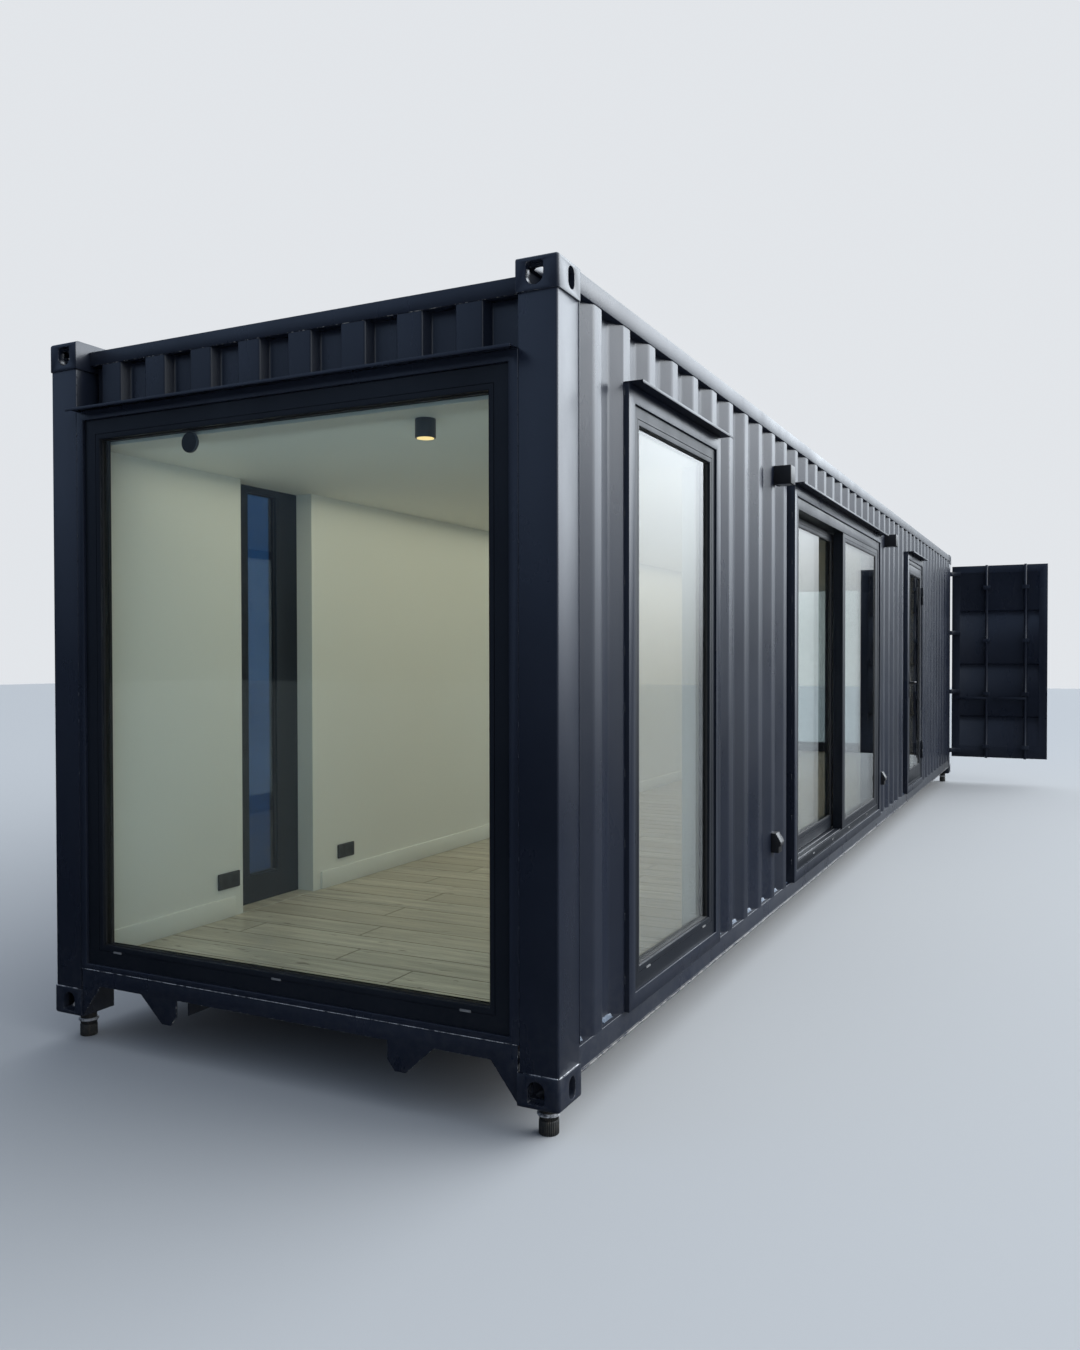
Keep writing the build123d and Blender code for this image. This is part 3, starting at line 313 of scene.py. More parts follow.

# %% [markdown]
# Edges are where paint suffers first. The rounded strips of the heavy steel parts get their own
# finish: the same paint, a little glossier, with small chips down to a pale primer. A mask from
# the mesh's pointiness would need very many corners; a second material on the strips needs none.
# Welds are chipped the same way, and the pale blotches on the low welds also paint the highlights
# that these welds catch. Stitches get a slightly lighter paint that paints their sheen, and sealant
# a lighter, bluer paint that partly paints the sky reflection on it.

# %% Paint on edges and welds
edge_paint = painted_steel("edge_paint", (0.0105, 0.0125, 0.0205), 0.24)
whole = surface(edge_paint)["Base Color"].links[0].from_socket
nicks = remap(edge_paint, noise_field(edge_paint, 0.016, 5.0, roughness=0.7), 0.53, 0.60, 0.0, 0.9)
join(edge_paint, mix_colours(edge_paint, nicks, whole, (0.36, 0.35, 0.33)), surface(edge_paint)["Base Color"])
# Pale blotches: paint rubbed off the low welds, plus painted highlights that these welds catch.
pale_wear_and_highlight = new_material("pale_wear_and_highlight", (0.3, 0.3, 0.31), 0.25)
blotch = remap(pale_wear_and_highlight, noise_field(pale_wear_and_highlight, 0.03, 5.0, roughness=0.7), 0.4, 0.56, 0.0, 1.0)
join(pale_wear_and_highlight, mix_colours(pale_wear_and_highlight, blotch, (0.03, 0.033, 0.042), (0.52, 0.52, 0.53)),
     surface(pale_wear_and_highlight)["Base Color"])
bump(pale_wear_and_highlight, noise_field(pale_wear_and_highlight, 0.002, 3.0), 0.4, 0.0008)
# Slightly lighter than the cabin paint: a painted sheen on the stitch welds.
stitch_paint_and_sheen = painted_steel("stitch_paint_and_sheen", (0.022, 0.026, 0.036), 0.22)
# Lighter and bluer than the cabin paint: sealant paint and, in part, a painted sky reflection.
sealant_paint_and_sky_sheen = painted_steel("sealant_paint_and_sky_sheen", (0.085, 0.11, 0.15), 0.22, dust=0.05)
print("edge paint has", len(edge_paint.node_tree.nodes), "nodes")

# %% [markdown]
# ### Glass
# Clear float glass. A half transparent plain colour would be quick, but it bends and mirrors
# nothing. A transmissive shader shows the room and mirrors the surroundings more strongly at a
# flat angle, as the long side does here. The end glass gets a lower index, which keeps the view
# into the room clear. The narrow unit on the left is tinted dark blue, which is painted shade
# standing in for a shaded blue surface behind it.

# %% Glass
def clear_sheet(name, tint, index=1.5):
    glass = new_material(name, tint, 0.0)
    surface(glass)["Transmission Weight"].default_value = 1.0
    surface(glass)["IOR"].default_value = index
    return glass


window_glass = clear_sheet("window_glass", (0.935, 0.968, 0.957))
end_glass = clear_sheet("end_glass", (0.91, 0.965, 0.953), 1.22)
# Dark blue tint: painted shade standing in for a shaded blue surface seen through the left window.
blue_shade_glass = clear_sheet("blue_shade_glass", (0.11, 0.22, 0.36))
print("index of the end glass", round(surface(end_glass)["IOR"].default_value, 2))

# %% [markdown]
# ### Rubber, plastic and metal
# Small parts need little: a plain colour, and a fine bump of a millimetre or so that breaks up
# the highlights. The feet stand in the splash of rain, so they get patches of rust.

# %% Small finishes
gasket_rubber = new_material("gasket_rubber", (0.012, 0.012, 0.012), 0.6)
bump(gasket_rubber, noise_field(gasket_rubber, 0.002), 0.2, 0.0004)
black_plastic = new_material("black_plastic", (0.016, 0.016, 0.017), 0.4)
bump(black_plastic, noise_field(black_plastic, 0.0012), 0.3, 0.0003)
join(black_plastic, remap(black_plastic, noise_field(black_plastic, 0.05), 0.3, 0.7, 0.32, 0.5),
     surface(black_plastic)["Roughness"])

foot_steel = new_material("foot_steel", (0.03, 0.03, 0.027), 0.5, metallic=0.3)
rust = remap(foot_steel, noise_field(foot_steel, 0.02, 6.0), 0.5, 0.75, 0.0, 0.7)
join(foot_steel, mix_colours(foot_steel, rust, (0.028, 0.028, 0.026), (0.10, 0.078, 0.055)),
     surface(foot_steel)["Base Color"])
bump(foot_steel, noise_field(foot_steel, 0.003, 5.0), 0.5, 0.001)

pale_plastic = new_material("pale_plastic", (0.17, 0.17, 0.17), 0.5)
bump(pale_plastic, noise_field(pale_plastic, 0.002), 0.2, 0.0003)
steel_grey = new_material("steel_grey", (0.42, 0.42, 0.43), 0.3, metallic=0.9)
bump(steel_grey, noise_field(steel_grey, 0.0015, 2.0, (1.0, 8.0, 1.0)), 0.2, 0.0002)
warm_lens = new_material("warm_lens", (0.9, 0.75, 0.5), 0.4)
surface(warm_lens)["Emission Color"].default_value = (1.0, 0.66, 0.24, 1.0)
surface(warm_lens)["Emission Strength"].default_value = 1.0
clear_lens = new_material("clear_lens", (0.22, 0.22, 0.22), 0.25)
bump(clear_lens, noise_field(clear_lens, 0.003), 0.3, 0.0003)
print(len(bpy.data.materials), "materials so far")

# %% [markdown]
# The bottom rail has a lip that straps and forks have rubbed down to pale primer, and the pale
# band also paints the highlight that the lip's edge catches. It could be a strip of its own with
# its own material. But the band has no sharp edge, so the rail keeps one paint, and the height
# mask, broken up by noise, says where the pale band shows.

# %% Rail paint
rail_paint_and_lip_sheen = painted_steel("rail_paint_and_lip_sheen", CABIN_COLOUR, 0.29)
clean = surface(rail_paint_and_lip_sheen)["Base Color"].links[0].from_socket
# The pale band on the lip: rubbed primer plus a painted highlight along its edge.
pale_lip_low, pale_lip_high = 0.2066, 0.2082
lip = nearness_to_ground(rail_paint_and_lip_sheen, pale_lip_low, pale_lip_high)
pale_lip_breaks = remap(rail_paint_and_lip_sheen, noise_field(rail_paint_and_lip_sheen, 0.012, 6.0, (0.35, 1.0, 1.0)), 0.42, 0.54, 0.0, 1.0)
lip_wear_and_highlight = mix_colours(rail_paint_and_lip_sheen, combine(rail_paint_and_lip_sheen, "MULTIPLY", lip, pale_lip_breaks), clean, (0.21, 0.2, 0.19))
join(rail_paint_and_lip_sheen, lip_wear_and_highlight, surface(rail_paint_and_lip_sheen)["Base Color"])
print("the rail is worn up to", pale_lip_low, "m above the ground")

# %% [markdown]
# ### The room: painted lining and oak floor
# The lining is matt off-white paint with the faintest clouds and a fine roller texture.

# %% Lining finish
lining_white = new_material("lining_white", (0.8, 0.8, 0.77), 0.6)
tint = mix_colours(lining_white, noise_field(lining_white, 0.7, 3.0), (0.78, 0.78, 0.74), (0.84, 0.84, 0.81))
join(lining_white, tint, surface(lining_white)["Base Color"])
bump(lining_white, noise_field(lining_white, 0.003, 2.0), 0.2, 0.0008)
print("lining has", len(lining_white.node_tree.nodes), "nodes")

# %% [markdown]
# The oak has long grain along the board: noise stretched over the board's length, darker knots
# and fine pores. A photograph of wood would show its repeats on a floor this long. An attribute
# on the mesh moves the noise and shades the colour from board to board, so one finish serves
# the whole floor and no two boards are alike.

# %% Oak
oak_floor = new_material("oak_floor", (0.45, 0.36, 0.26), 0.45)
board_tone = add_node(oak_floor, "ShaderNodeAttribute", attribute_name="board_tone")
shift = add_node(oak_floor, "ShaderNodeVectorMath", operation="ADD")
join(oak_floor, object_coordinates(oak_floor, (22.0, 1.3, 22.0)), shift.inputs[0])
join(oak_floor, board_tone.outputs["Vector"], shift.inputs[1])
grain = add_node(oak_floor, "ShaderNodeTexNoise", Scale=1.0, Detail=8.0, Roughness=0.65, Distortion=0.6)
join(oak_floor, shift.outputs[0], grain.inputs["Vector"])
streak = mix_colours(oak_floor, remap(oak_floor, grain.outputs["Fac"], 0.3, 0.72, 0.0, 1.0),
                     (0.29, 0.261, 0.209), (0.766, 0.708, 0.592))
knots = noise_field(oak_floor, 0.035, 2.0, (1.0, 0.22, 1.0))
streak = mix_colours(oak_floor, remap(oak_floor, knots, 0.665, 0.73, 0.0, 0.85), streak, (0.12, 0.085, 0.06))
tone_split = add_node(oak_floor, "ShaderNodeSeparateXYZ")
join(oak_floor, board_tone.outputs["Vector"], tone_split.inputs["Vector"])
board_shade = remap(oak_floor, tone_split.outputs["X"], 0.0, 50.0, 0.0, 0.55)
streak = mix_colours(oak_floor, board_shade, streak, (0.42, 0.365, 0.28))
pores = noise_field(oak_floor, 0.004, 3.0, (1.0, 0.03, 1.0))
streak = mix_colours(oak_floor, remap(oak_floor, pores, 0.55, 0.7, 0.0, 0.45), streak, (0.20, 0.155, 0.11))
join(oak_floor, streak, surface(oak_floor)["Base Color"])
join(oak_floor, remap(oak_floor, grain.outputs["Fac"], 0.3, 0.7, 0.34, 0.5), surface(oak_floor)["Roughness"])
bump(oak_floor, grain.outputs["Fac"], 0.25, 0.0006)
print("oak has", len(oak_floor.node_tree.nodes), "nodes")

# %% [markdown]
# The bevels between the boards hold a little dirt, and the deck under them is brown plywood.

# %% Board edges and plywood
oak_edge = new_material("oak_edge", (0.2, 0.165, 0.125), 0.6)
join(oak_edge, mix_colours(oak_edge, noise_field(oak_edge, 0.05, 4.0), (0.2, 0.17, 0.13), (0.34, 0.3, 0.235)),
     surface(oak_edge)["Base Color"])
plywood = new_material("plywood", (0.2, 0.13, 0.08), 0.7)
ply_grain = noise_field(plywood, 0.05, 6.0, (1.0, 0.15, 1.0))
join(plywood, mix_colours(plywood, ply_grain, (0.13, 0.08, 0.05), (0.26, 0.18, 0.11)),
     surface(plywood)["Base Color"])
print(len(bpy.data.materials), "materials")

# %% [markdown]
# ## Corrugated sheets
# The walls and the header are sheet steel rolled into trapezoids. The folds have a radius of
# about a centimetre, which draws a soft bright line down every edge. A Bevel modifier on a
# folded sheet would do nearly the same, but it pinches where the sheet is cut off. So a path
# across the wall is rounded at its folds first, each fold by a short curve of five points.

# %% Rounded folds
def round_folds(path, radius, steps=4):
    """The path with every inner corner replaced by a curve that starts radius away from it."""
    rounded = [Vector(path[0])]
    for before, here, after in zip(path, path[1:], path[2:]):
        before, here, after = Vector(before), Vector(here), Vector(after)
        back, ahead = before - here, after - here
        reach = min(radius, back.length * 0.45, ahead.length * 0.45)
        start = here + back.normalized() * reach
        end = here + ahead.normalized() * reach
        for step in range(steps + 1):
            t = step / steps
            rounded.append((1 - t) ** 2 * start + 2 * t * (1 - t) * here + t ** 2 * end)
    rounded.append(Vector(path[-1]))
    return rounded


# %% [markdown]
# The path is then given the thickness of the sheet, 2 mm, and drawn out over the height.
# Solidify and Extrude would do this in two steps by hand. In code the second side is the first
# one moved to the left of its own direction, and the two levels are joined by faces.

# %% A rolled sheet
def other_side(path, thickness):
    """The path moved sideways by the sheet's thickness, to its left."""
    moved = []
    for i, here in enumerate(path):
        ahead = path[min(i + 1, len(path) - 1)] - path[max(i - 1, 0)]
        moved.append(here + Vector((-ahead.y, ahead.x)).normalized() * thickness)
    return moved


def draw_sheet(bm, path, thickness, bottom, top):
    """A rolled sheet that stands on the bottom level and ends at the top level."""
    outline = path + other_side(path, thickness)[::-1]
    low = [bm.verts.new((p.x, p.y, bottom)) for p in outline]
    high = [bm.verts.new((p.x, p.y, top)) for p in outline]
    count, half = len(outline), len(path)
    for i in range(count):
        j = (i + 1) % count
        bm.faces.new((low[i], low[j], high[j], high[i]))
    for i in range(half - 1):
        k = count - 1 - i
        bm.faces.new((low[i], low[k], low[k - 1], low[i + 1]))
        bm.faces.new((high[i], high[i + 1], high[k - 1], high[k]))


# %% [markdown]
# An Array modifier could repeat one fold, but it would start afresh beside every opening. On the
# real wall the openings are cut into one long sheet, so the folds left and right of a window
# stay in step. Here the whole wave is laid out first and then cut off at both ends.

# %% The wave of the wall
def trapezoids(start, end, first, crest, slope, valley, depth):
    """Points (along, inward) of the corrugation, cut off at start and end. The first crest fixes
    the phase, so sheets beside and over an opening stay in step."""
    pitch = crest + slope + valley + slope
    least = 0.003
    knots = []
    place = first - pitch * math.ceil((first - start) / pitch + 1)
    while place < end + pitch:
        knots += [(place, 0.0), (place + crest, 0.0), (place + crest + slope, depth),
                  (place + crest + slope + valley, depth)]
        place += pitch

    def inward(along):
        for (a, da), (b, db) in zip(knots, knots[1:]):
            if a <= along <= b:
                return da + (db - da) * (along - a) / (b - a)
        return 0.0

    inside = [knot for knot in knots if start + least < knot[0] < end - least]
    return [(start, inward(start))] + inside + [(end, inward(end))]


# %% [markdown]
# The right wall has three openings and the left one has one. Between them sheets stand the full
# height of the wall, and over them short ones reach down to the ledges. Cutting windows with a
# Boolean would leave ragged meshes, so each sheet is drawn on its own.

# %% Long side walls
RIGHT, LEFT = 1, -1
mid_y = 1.1295
crest_y = -0.084
sheet = 0.002
wall_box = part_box("right_wall_panels")
head_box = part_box("right_wall_headers")
wall_low, wall_high = wall_box[0][2], wall_box[1][2]
wall_start, wall_end = wall_box[0][0], wall_box[1][0]
ledge_top = head_box[0][2]
wave = {"first": 0.205, "crest": 0.072, "slope": 0.068, "valley": 0.070, "depth": 0.036}
openings = {RIGHT: [(0.492, 1.670), (3.178, 6.346), (7.950, 9.115)], LEFT: [(0.840, 1.540)]}
walls = {RIGHT: bmesh.new(), LEFT: bmesh.new()}


def side_path(x0, x1, side):
    """The level of the crests, and the rounded path of the corrugation along a long side."""
    face = crest_y if side == RIGHT else 2 * mid_y - crest_y
    path = [(x, face + side * inward) for x, inward in trapezoids(x0, x1, **wave)]
    return face, round_folds(path, 0.012)


full_height = []
for side, gaps in openings.items():
    ends = [wall_start] + [x for opening in gaps for x in opening] + [wall_end]
    stretches = list(zip(ends[0::2], ends[1::2]))
    full_height += [(x0, x1, side) for x0, x1 in stretches]
    for x0, x1, low in [(*pair, wall_low) for pair in stretches] + [(*pair, ledge_top) for pair in gaps]:
        draw_sheet(walls[side], side_path(x0, x1, side)[1], sheet * side, low, wall_high)
right_wall = add_piece("right_wall_sheets", walls[RIGHT], "cabin", cabin_paint,
                       ["right_wall_panels", "right_wall_headers"])
left_wall = add_piece("left_wall_sheets", walls[LEFT], "cabin", cabin_paint,
                      ["left_wall_panel"])
print("side walls", len(right_wall.data.polygons) + len(left_wall.data.polygons), "faces")

# %% [markdown]
# The short sheet over the front window comes from another roller: its folds are steeper and
# deeper than those of the sides. The same three functions draw it, only across the front.

# %% Front header
header_low, header_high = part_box("front_header_panel")
folds = trapezoids(header_low[1], header_high[1], first=0.243, crest=0.110, slope=0.018, valley=0.106,
                   depth=0.0456)
bm = bmesh.new()
path = round_folds([(header_low[0] + inward, y) for y, inward in folds], 0.007)
draw_sheet(bm, path, -sheet, header_low[2], header_high[2])
header = add_piece("front_header_sheet", bm, "cabin", cabin_paint, ["front_header_panel"])
print("front header", len(header.data.polygons), "faces")

# %% [markdown]
# ## Frames swept round their openings
# Most pieces from here on are skins over rings of corners: the two faces of a pane, the slices
# of a weld, the levels of a turned foot. The operator bridge_loops can join such rings, but it
# has to guess which corners belong together. Here every ring lists its corners in the same
# order, so one short function joins them without any guess.

# %% A skin over rings
def skin(bm, rings, closed=False):
    """Joins each ring to the next by faces. Closed joins the last to the first as well;
    otherwise both ends get a lid."""
    bands = []
    for here, there in zip(rings, rings[1:] + rings[:1] if closed else rings[1:]):
        count = len(here)
        bands.append([bm.faces.new((here[k], here[(k + 1) % count], there[(k + 1) % count], there[k]))
                      for k in range(count)])
    if not closed:
        bm.faces.new(rings[0][::-1])
        bm.faces.new(rings[-1])
    return bands


# %% [markdown]
# Frames are drawn flat, by how far along and how high, and then stood in one of the four walls.
# A rotation of finished objects would do as well, but this keeps every piece in the one frame.

# %% Places in the four walls
def on_right(face):
    return lambda a, b, depth: (a, face + depth, b)


def on_left(face):
    return lambda a, b, depth: (a, face - depth, b)


def on_front(face):
    return lambda a, b, depth: (face + depth, a, b)


def on_rear(face):
    return lambda a, b, depth: (face - depth, a, b)


print("along 1, up 2 and 10 mm into the right wall is", on_right(0.0)(1.0, 2.0, 0.01))

# %% [markdown]
# A window frame is one extruded profile, cut at 45 degrees and joined at the corners. A curve
# with a bevel profile could follow the rectangle, but its corners are hard to keep square. Here
# every point of the profile becomes a rectangle round the opening, and neighbouring rectangles
# are joined by faces, which gives the mitred corners by itself.

# %% Sweep a profile round a rectangle
def corners_of(bm, rect, place, depth):
    a0, a1, b0, b1 = rect
    return [bm.verts.new(place(a, b, depth)) for a, b in ((a0, b0), (a1, b0), (a1, b1), (a0, b1))]


def sweep_frame(bm, outer, inner, profile, place):
    """The profile's points are (edge, offset, depth): 'o' counts in from the outer rectangle,
    'i' counts out from the inner one."""
    rows = []
    for edge, offset, depth in profile:
        a0, a1, b0, b1 = outer if edge == "o" else inner
        step = offset if edge == "o" else -offset
        rows.append(corners_of(bm, (a0 + step, a1 - step, b0 + step, b1 - step), place, depth))
    skin(bm, rows, closed=True)


# %% [markdown]
# The profile of an aluminium frame is worth drawing well, because its fine shadow lines are what
# tells metal from a painted board: a joint 3 mm wide, a glazing bead with a rounded nose, and a
# deep groove that holds the glass. A rubber strip closes the gap between bead and glass.

# %% Profiles of frame and gasket
def window_profile(depth, glass_at, glass_thickness):
    """Flat face, a fine joint, a rounded glazing bead, and a groove that holds the glass."""
    bead, groove = 0.022, 0.012
    near, far = glass_at - 0.004, glass_at + glass_thickness
    return [
        ("o", 0.0, depth), ("o", 0.0, 0.0015), ("o", 0.0015, 0.0),
        ("i", bead + 0.003, 0.0), ("i", bead + 0.0025, 0.003), ("i", bead + 0.0005, 0.003),
        ("i", bead, 0.0005), ("i", 0.006, 0.0005), ("i", 0.002, 0.002), ("i", 0.0, 0.006),
        ("i", 0.0, near), ("i", groove, near), ("i", groove, far), ("i", 0.0, far),
        ("i", 0.0, depth - 0.002), ("i", 0.002, depth),
    ]


def gasket_profile(glass_at):
    """A rubber strip between the bead and the glass."""
    return [("i", 0.001, glass_at), ("i", 0.001, glass_at - 0.005), ("i", -0.003, glass_at - 0.004),
            ("i", -0.005, glass_at)]


# %% [markdown]
# Each pane of the construction model becomes an insulating unit: two sheets of glass with a dark
# spacer between them. One thick block would bend the view like water; two thin sheets don't.

# %% Insulating glass
GLASS, PANE = 0.028, 0.006


def two_panes(bm, rect, place, glass_at):
    """An insulating unit: a sheet of glass in front and one behind."""
    for front in (glass_at, glass_at + GLASS - PANE):
        skin(bm, [corners_of(bm, rect, place, depth) for depth in (front, front + PANE)])


def spacer_profile(glass_at, reach):
    near, far = glass_at + PANE, glass_at + GLASS - PANE
    return [("i", -0.003, near), ("i", -0.003, far), ("i", reach, far), ("i", reach, near)]


# %% [markdown]
# Every window is made of the same parts, so one function makes them all: the frame, a gasket on
# both sides of the glass, the spacer and the two panes, each kind as one piece.

# %% A glazed frame
def glazing(name, windows, body, frame_nodes, glass_nodes, glass=window_glass):
    """Frames of one or more windows: (outer, inner, place, depth, depth of the glass)."""
    frames, rubber, panes = bmesh.new(), bmesh.new(), bmesh.new()
    grip = 0.0115
    for outer, inner, place, depth, glass_at in windows:
        def seen_from_inside(a, b, d):
            return place(a, b, 2 * glass_at + GLASS - d)

        sweep_frame(frames, outer, inner, window_profile(depth, glass_at, GLASS), place)
        sweep_frame(rubber, outer, inner, gasket_profile(glass_at), place)
        sweep_frame(rubber, outer, inner, gasket_profile(glass_at), seen_from_inside)
        sweep_frame(rubber, outer, inner, spacer_profile(glass_at, 0.011), place)
        a0, a1, b0, b1 = inner
        two_panes(panes, (a0 - grip, a1 + grip, b0 - grip, b1 + grip), place, glass_at)
    add_piece(name + "_profiles", frames, body, frame_coating, frame_nodes)
    add_piece(name + "_gaskets", rubber, body, gasket_rubber)
    add_piece(name + "_panes", panes, body, glass, glass_nodes)
    print(name, len(windows), "glazed")


# %% [markdown]
# The front window fills the whole end of the container, and the screen behind the cargo doors
# is its twin. Outer and inner rectangles are (left, right, low, high) of the frame.

# %% Windows in the two ends
front_outer = (0.104, 2.155, 0.349, 2.668)
front_inner = (0.190, 2.069, 0.435, 2.582)
rear_outer = (0.104, 2.155, 0.389, 2.668)
rear_inner = (0.190, 2.069, 0.475, 2.582)
rear_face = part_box("end_window_frames")[1][0]
frame_depth, glass_at = 0.065, 0.018
glazing("end_window",
        [(front_outer, front_inner, on_front(-0.086), frame_depth, glass_at),
         (rear_outer, rear_inner, on_rear(rear_face), frame_depth, glass_at)],
        "cabin", ["end_window_frames"], ["end_window_glass"], end_glass)

# %% [markdown]
# The window beside the front corner has slim rails. The narrow unit in the left wall has wide
# ones, and its dark blue glass, painted shade of a shaded surface behind it, is a piece of its
# own because a piece has one kind of glass.

# %% Windows in the long sides
side_face = -0.094
left_face = 2 * mid_y - side_face
glazing("side_window",
        [((0.558, 1.604, 0.350, 2.638), (0.629, 1.533, 0.436, 2.567),
          on_right(side_face), frame_depth, glass_at)],
        "cabin", ["side_window_frames"], ["side_window_glass"])
glazing("left_window",
        [((0.906, 1.474, 0.350, 2.638), (1.078, 1.302, 0.500, 2.534),
          on_left(left_face), frame_depth, glass_at)],
        "cabin", [], [], blue_shade_glass)

# %% [markdown]
# The sliding door has a fixed leaf in front and a moving one behind it, on its own body. Both
# have slim stiles that meet in the middle and a deeper rail at the foot.

# %% Leaves of the sliding door
leaf_low, leaf_high, leaf_glass_at = 0.399, 2.567, 0.008
glazing("fixed_leaf",
        [((4.718, 6.209, leaf_low, leaf_high), (4.816, 6.111, leaf_low + 0.060, leaf_high - 0.057),
          on_right(side_face + 0.003), 0.070, leaf_glass_at)],
        "cabin", ["fixed_leaf_frame"], ["fixed_leaf_glass"])
moving_low = leaf_low + 0.010
glazing("sliding_leaf",
        [((3.321, 4.806, moving_low, leaf_high - 0.006),
          (3.419, 4.708, moving_low + 0.089, leaf_high - 0.063),
          on_right(side_face + 0.083), 0.056, leaf_glass_at)],
        "sliding_leaf", ["sliding_leaf_frame"], ["sliding_leaf_glass"])

# %% [markdown]
# The leaf of the hinged door has hinges and a bore for the lever, so a swept profile can't
# replace it. It keeps its own mesh, eased further down, and gets only what shows at the glass: a
# bead, a gasket and an insulating unit. All of them ride on the door, or they would stay behind.

# %% Glazed door
door_outer = (8.065, 9.003, 0.386, 2.592)
door_inner = (8.157, 8.911, 0.514, 2.500)
rubber, panes, beads = bmesh.new(), bmesh.new(), bmesh.new()
place = on_right(side_face)
sweep_frame(rubber, door_outer, door_inner, gasket_profile(leaf_glass_at), place)
two_panes(panes, (8.146, 8.922, 0.503, 2.511), place, leaf_glass_at)
sweep_frame(rubber, door_outer, door_inner, spacer_profile(leaf_glass_at, 0.010), place)
sweep_frame(beads, door_outer, door_inner,
            [("i", 0.0005, 0.003), ("i", 0.0005, -0.001), ("i", 0.004, -0.003), ("i", 0.016, -0.003),
             ("i", 0.018, -0.001), ("i", 0.018, 0.003)], place)
add_piece("door_gaskets", rubber, "glazed_door", gasket_rubber)
add_piece("door_panes", panes, "glazed_door", window_glass, ["glazed_door_glass"])
bead = add_piece("door_beads", beads, "glazed_door", frame_coating)
print("door bead", len(bead.data.polygons), "faces")

# %% [markdown]
# ## Steel, sheet and plastic with eased edges
# The plain nodes already have the right shape, so their meshes are copied and only their edges
# are rounded. The radius says how a part was made: 4 mm on a cast corner, 2 mm on a pressed
# frame, less than 1 mm on a folded ledge. A few heavy pieces get the chipped paint on the
# rounded strips.

# %% The rest of the construction model, eased and painted
eased = {
    "corner_castings": 0.004, "front_corner_posts": 0.004, "rear_corner_posts": 0.003,
    "top_side_rails": 0.003, "front_top_rail": 0.005, "front_bottom_rail": 0.002,
    "door_header": 0.004, "door_sill": 0.004, "front_window_surround": 0.002,
    "side_window_surrounds": 0.002, "sliding_door_surround": 0.002, "glazed_door_surround": 0.002,
    "drip_ledges": 0.0008, "right_cargo_leaf": 0.002, "left_cargo_leaf": 0.002,
    "right_locking_bars": 0.0015, "left_locking_bars": 0.0015, "rear_end_wall": 0.002,
    "cross_members": 0.0015, "gooseneck_tunnel": 0.001, "tunnel_side_members": 0.001,
}
chipped = ("corner_castings", "front_bottom_rail", "front_top_rail", "door_sill", "door_header")
for node, width in eased.items():
    eased_copy(node, width, cabin_paint, strip=edge_paint if node in chipped else None)
eased_copy("bottom_side_rails", 0.002, rail_paint_and_lip_sheen)
for node in ("sliding_door_frame", "glazed_door_frame", "glazed_door_leaf"):
    eased_copy(node, 0.0015, frame_coating)
for node in ("wall_lamps", "ceiling_spot", "round_vent"):
    eased_copy(node, 0.002, lamp_coating)
eased_copy("outdoor_sockets", 0.003, black_plastic)
eased_copy("skirting_boards", 0.003, lining_white)

# %% [markdown]
# What is carried as it is, such as the roof, the lining and the deck, gets the finish of its
# slot. What is replaced gets one too; it is hidden, but nothing is left without a material.

# %% Finishes of the carried nodes
finish_of_slot = {
    "cabin_paint": cabin_paint, "frame_coating": frame_coating, "window_glass": window_glass,
    "foot_steel": foot_steel, "deck_plywood": plywood, "floor_wood": oak_floor, "lining_white": lining_white,
    "handle_metal": lamp_coating, "lamp_body": lamp_coating, "black_plastic": black_plastic,
}
for node, carried in frame["nodes"].items():
    carried.data.materials.clear()
    carried.data.materials.append(finish_of_slot[slot_of[node]])
print(len(finish_of_slot), "slots have a finish")

# %% [markdown]
# ## Floor boards
# Boards about 190 mm wide lie across the cabin, with staggered ends and a fine bevel. One plane
# with lines in its bump would do from far away. Seen through the front window the floor is
# close, so each board is a block of its own. Each carries a random offset that its finish reads,
# so the grain never runs on from one board to the next.

# %% One board
floor_low, floor_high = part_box("floor_planks")
board_width, gap, bevel_width = 0.190, 0.0014, 0.003
bm = bmesh.new()
tone_layer = bm.verts.layers.float_vector.new("board_tone")


def board(x0, x1, y0, y1):
    tone = Vector((random.uniform(0, 50), random.uniform(0, 50), random.uniform(0, 50)))
    top, low = floor_high[2], floor_low[2]
    b = bevel_width
    rings = [[(x0, y0, low), (x1, y0, low), (x1, y1, low), (x0, y1, low)],
             [(x0, y0, top - b), (x1, y0, top - b), (x1, y1, top - b), (x0, y1, top - b)],
             [(x0 + b, y0 + b, top), (x1 - b, y0 + b, top), (x1 - b, y1 - b, top), (x0 + b, y1 - b, top)]]
    rings = [[bm.verts.new(corner) for corner in ring] for ring in rings]
    for ring in rings:
        for corner in ring:
            corner[tone_layer] = tone
    for face in skin(bm, rings)[1]:
        face.material_index = 1


print("boards", board_width, "m wide")

# %% [markdown]
# The rows start with a long board and a short one by turns, each a little off, as when offcuts
# are used up. A last piece shorter than 200 mm is never laid; the board before it runs on.

# %% Lay the rows
board_length, short_start, offcut = 1.38, 0.75, 0.2
row = 0
x = floor_low[0]
while x < floor_high[0] - 0.001:
    x_end = min(x + board_width, floor_high[0])
    y = floor_low[1]
    y_end = y + (short_start if row % 2 else board_length) + random.uniform(-0.3, 0.3)
    while y < floor_high[1] - 0.001:
        y_stop = floor_high[1] if y_end > floor_high[1] - offcut else y_end
        board(x, x_end - gap, y, y_stop - gap)
        y, y_end = y_stop, y_stop + board_length
    x = x_end
    row += 1
floor_boards = add_piece("floor_boards", bm, "cabin", oak_floor, ["floor_planks"])
floor_boards.data.materials.append(oak_edge)
print(row, "rows of boards")

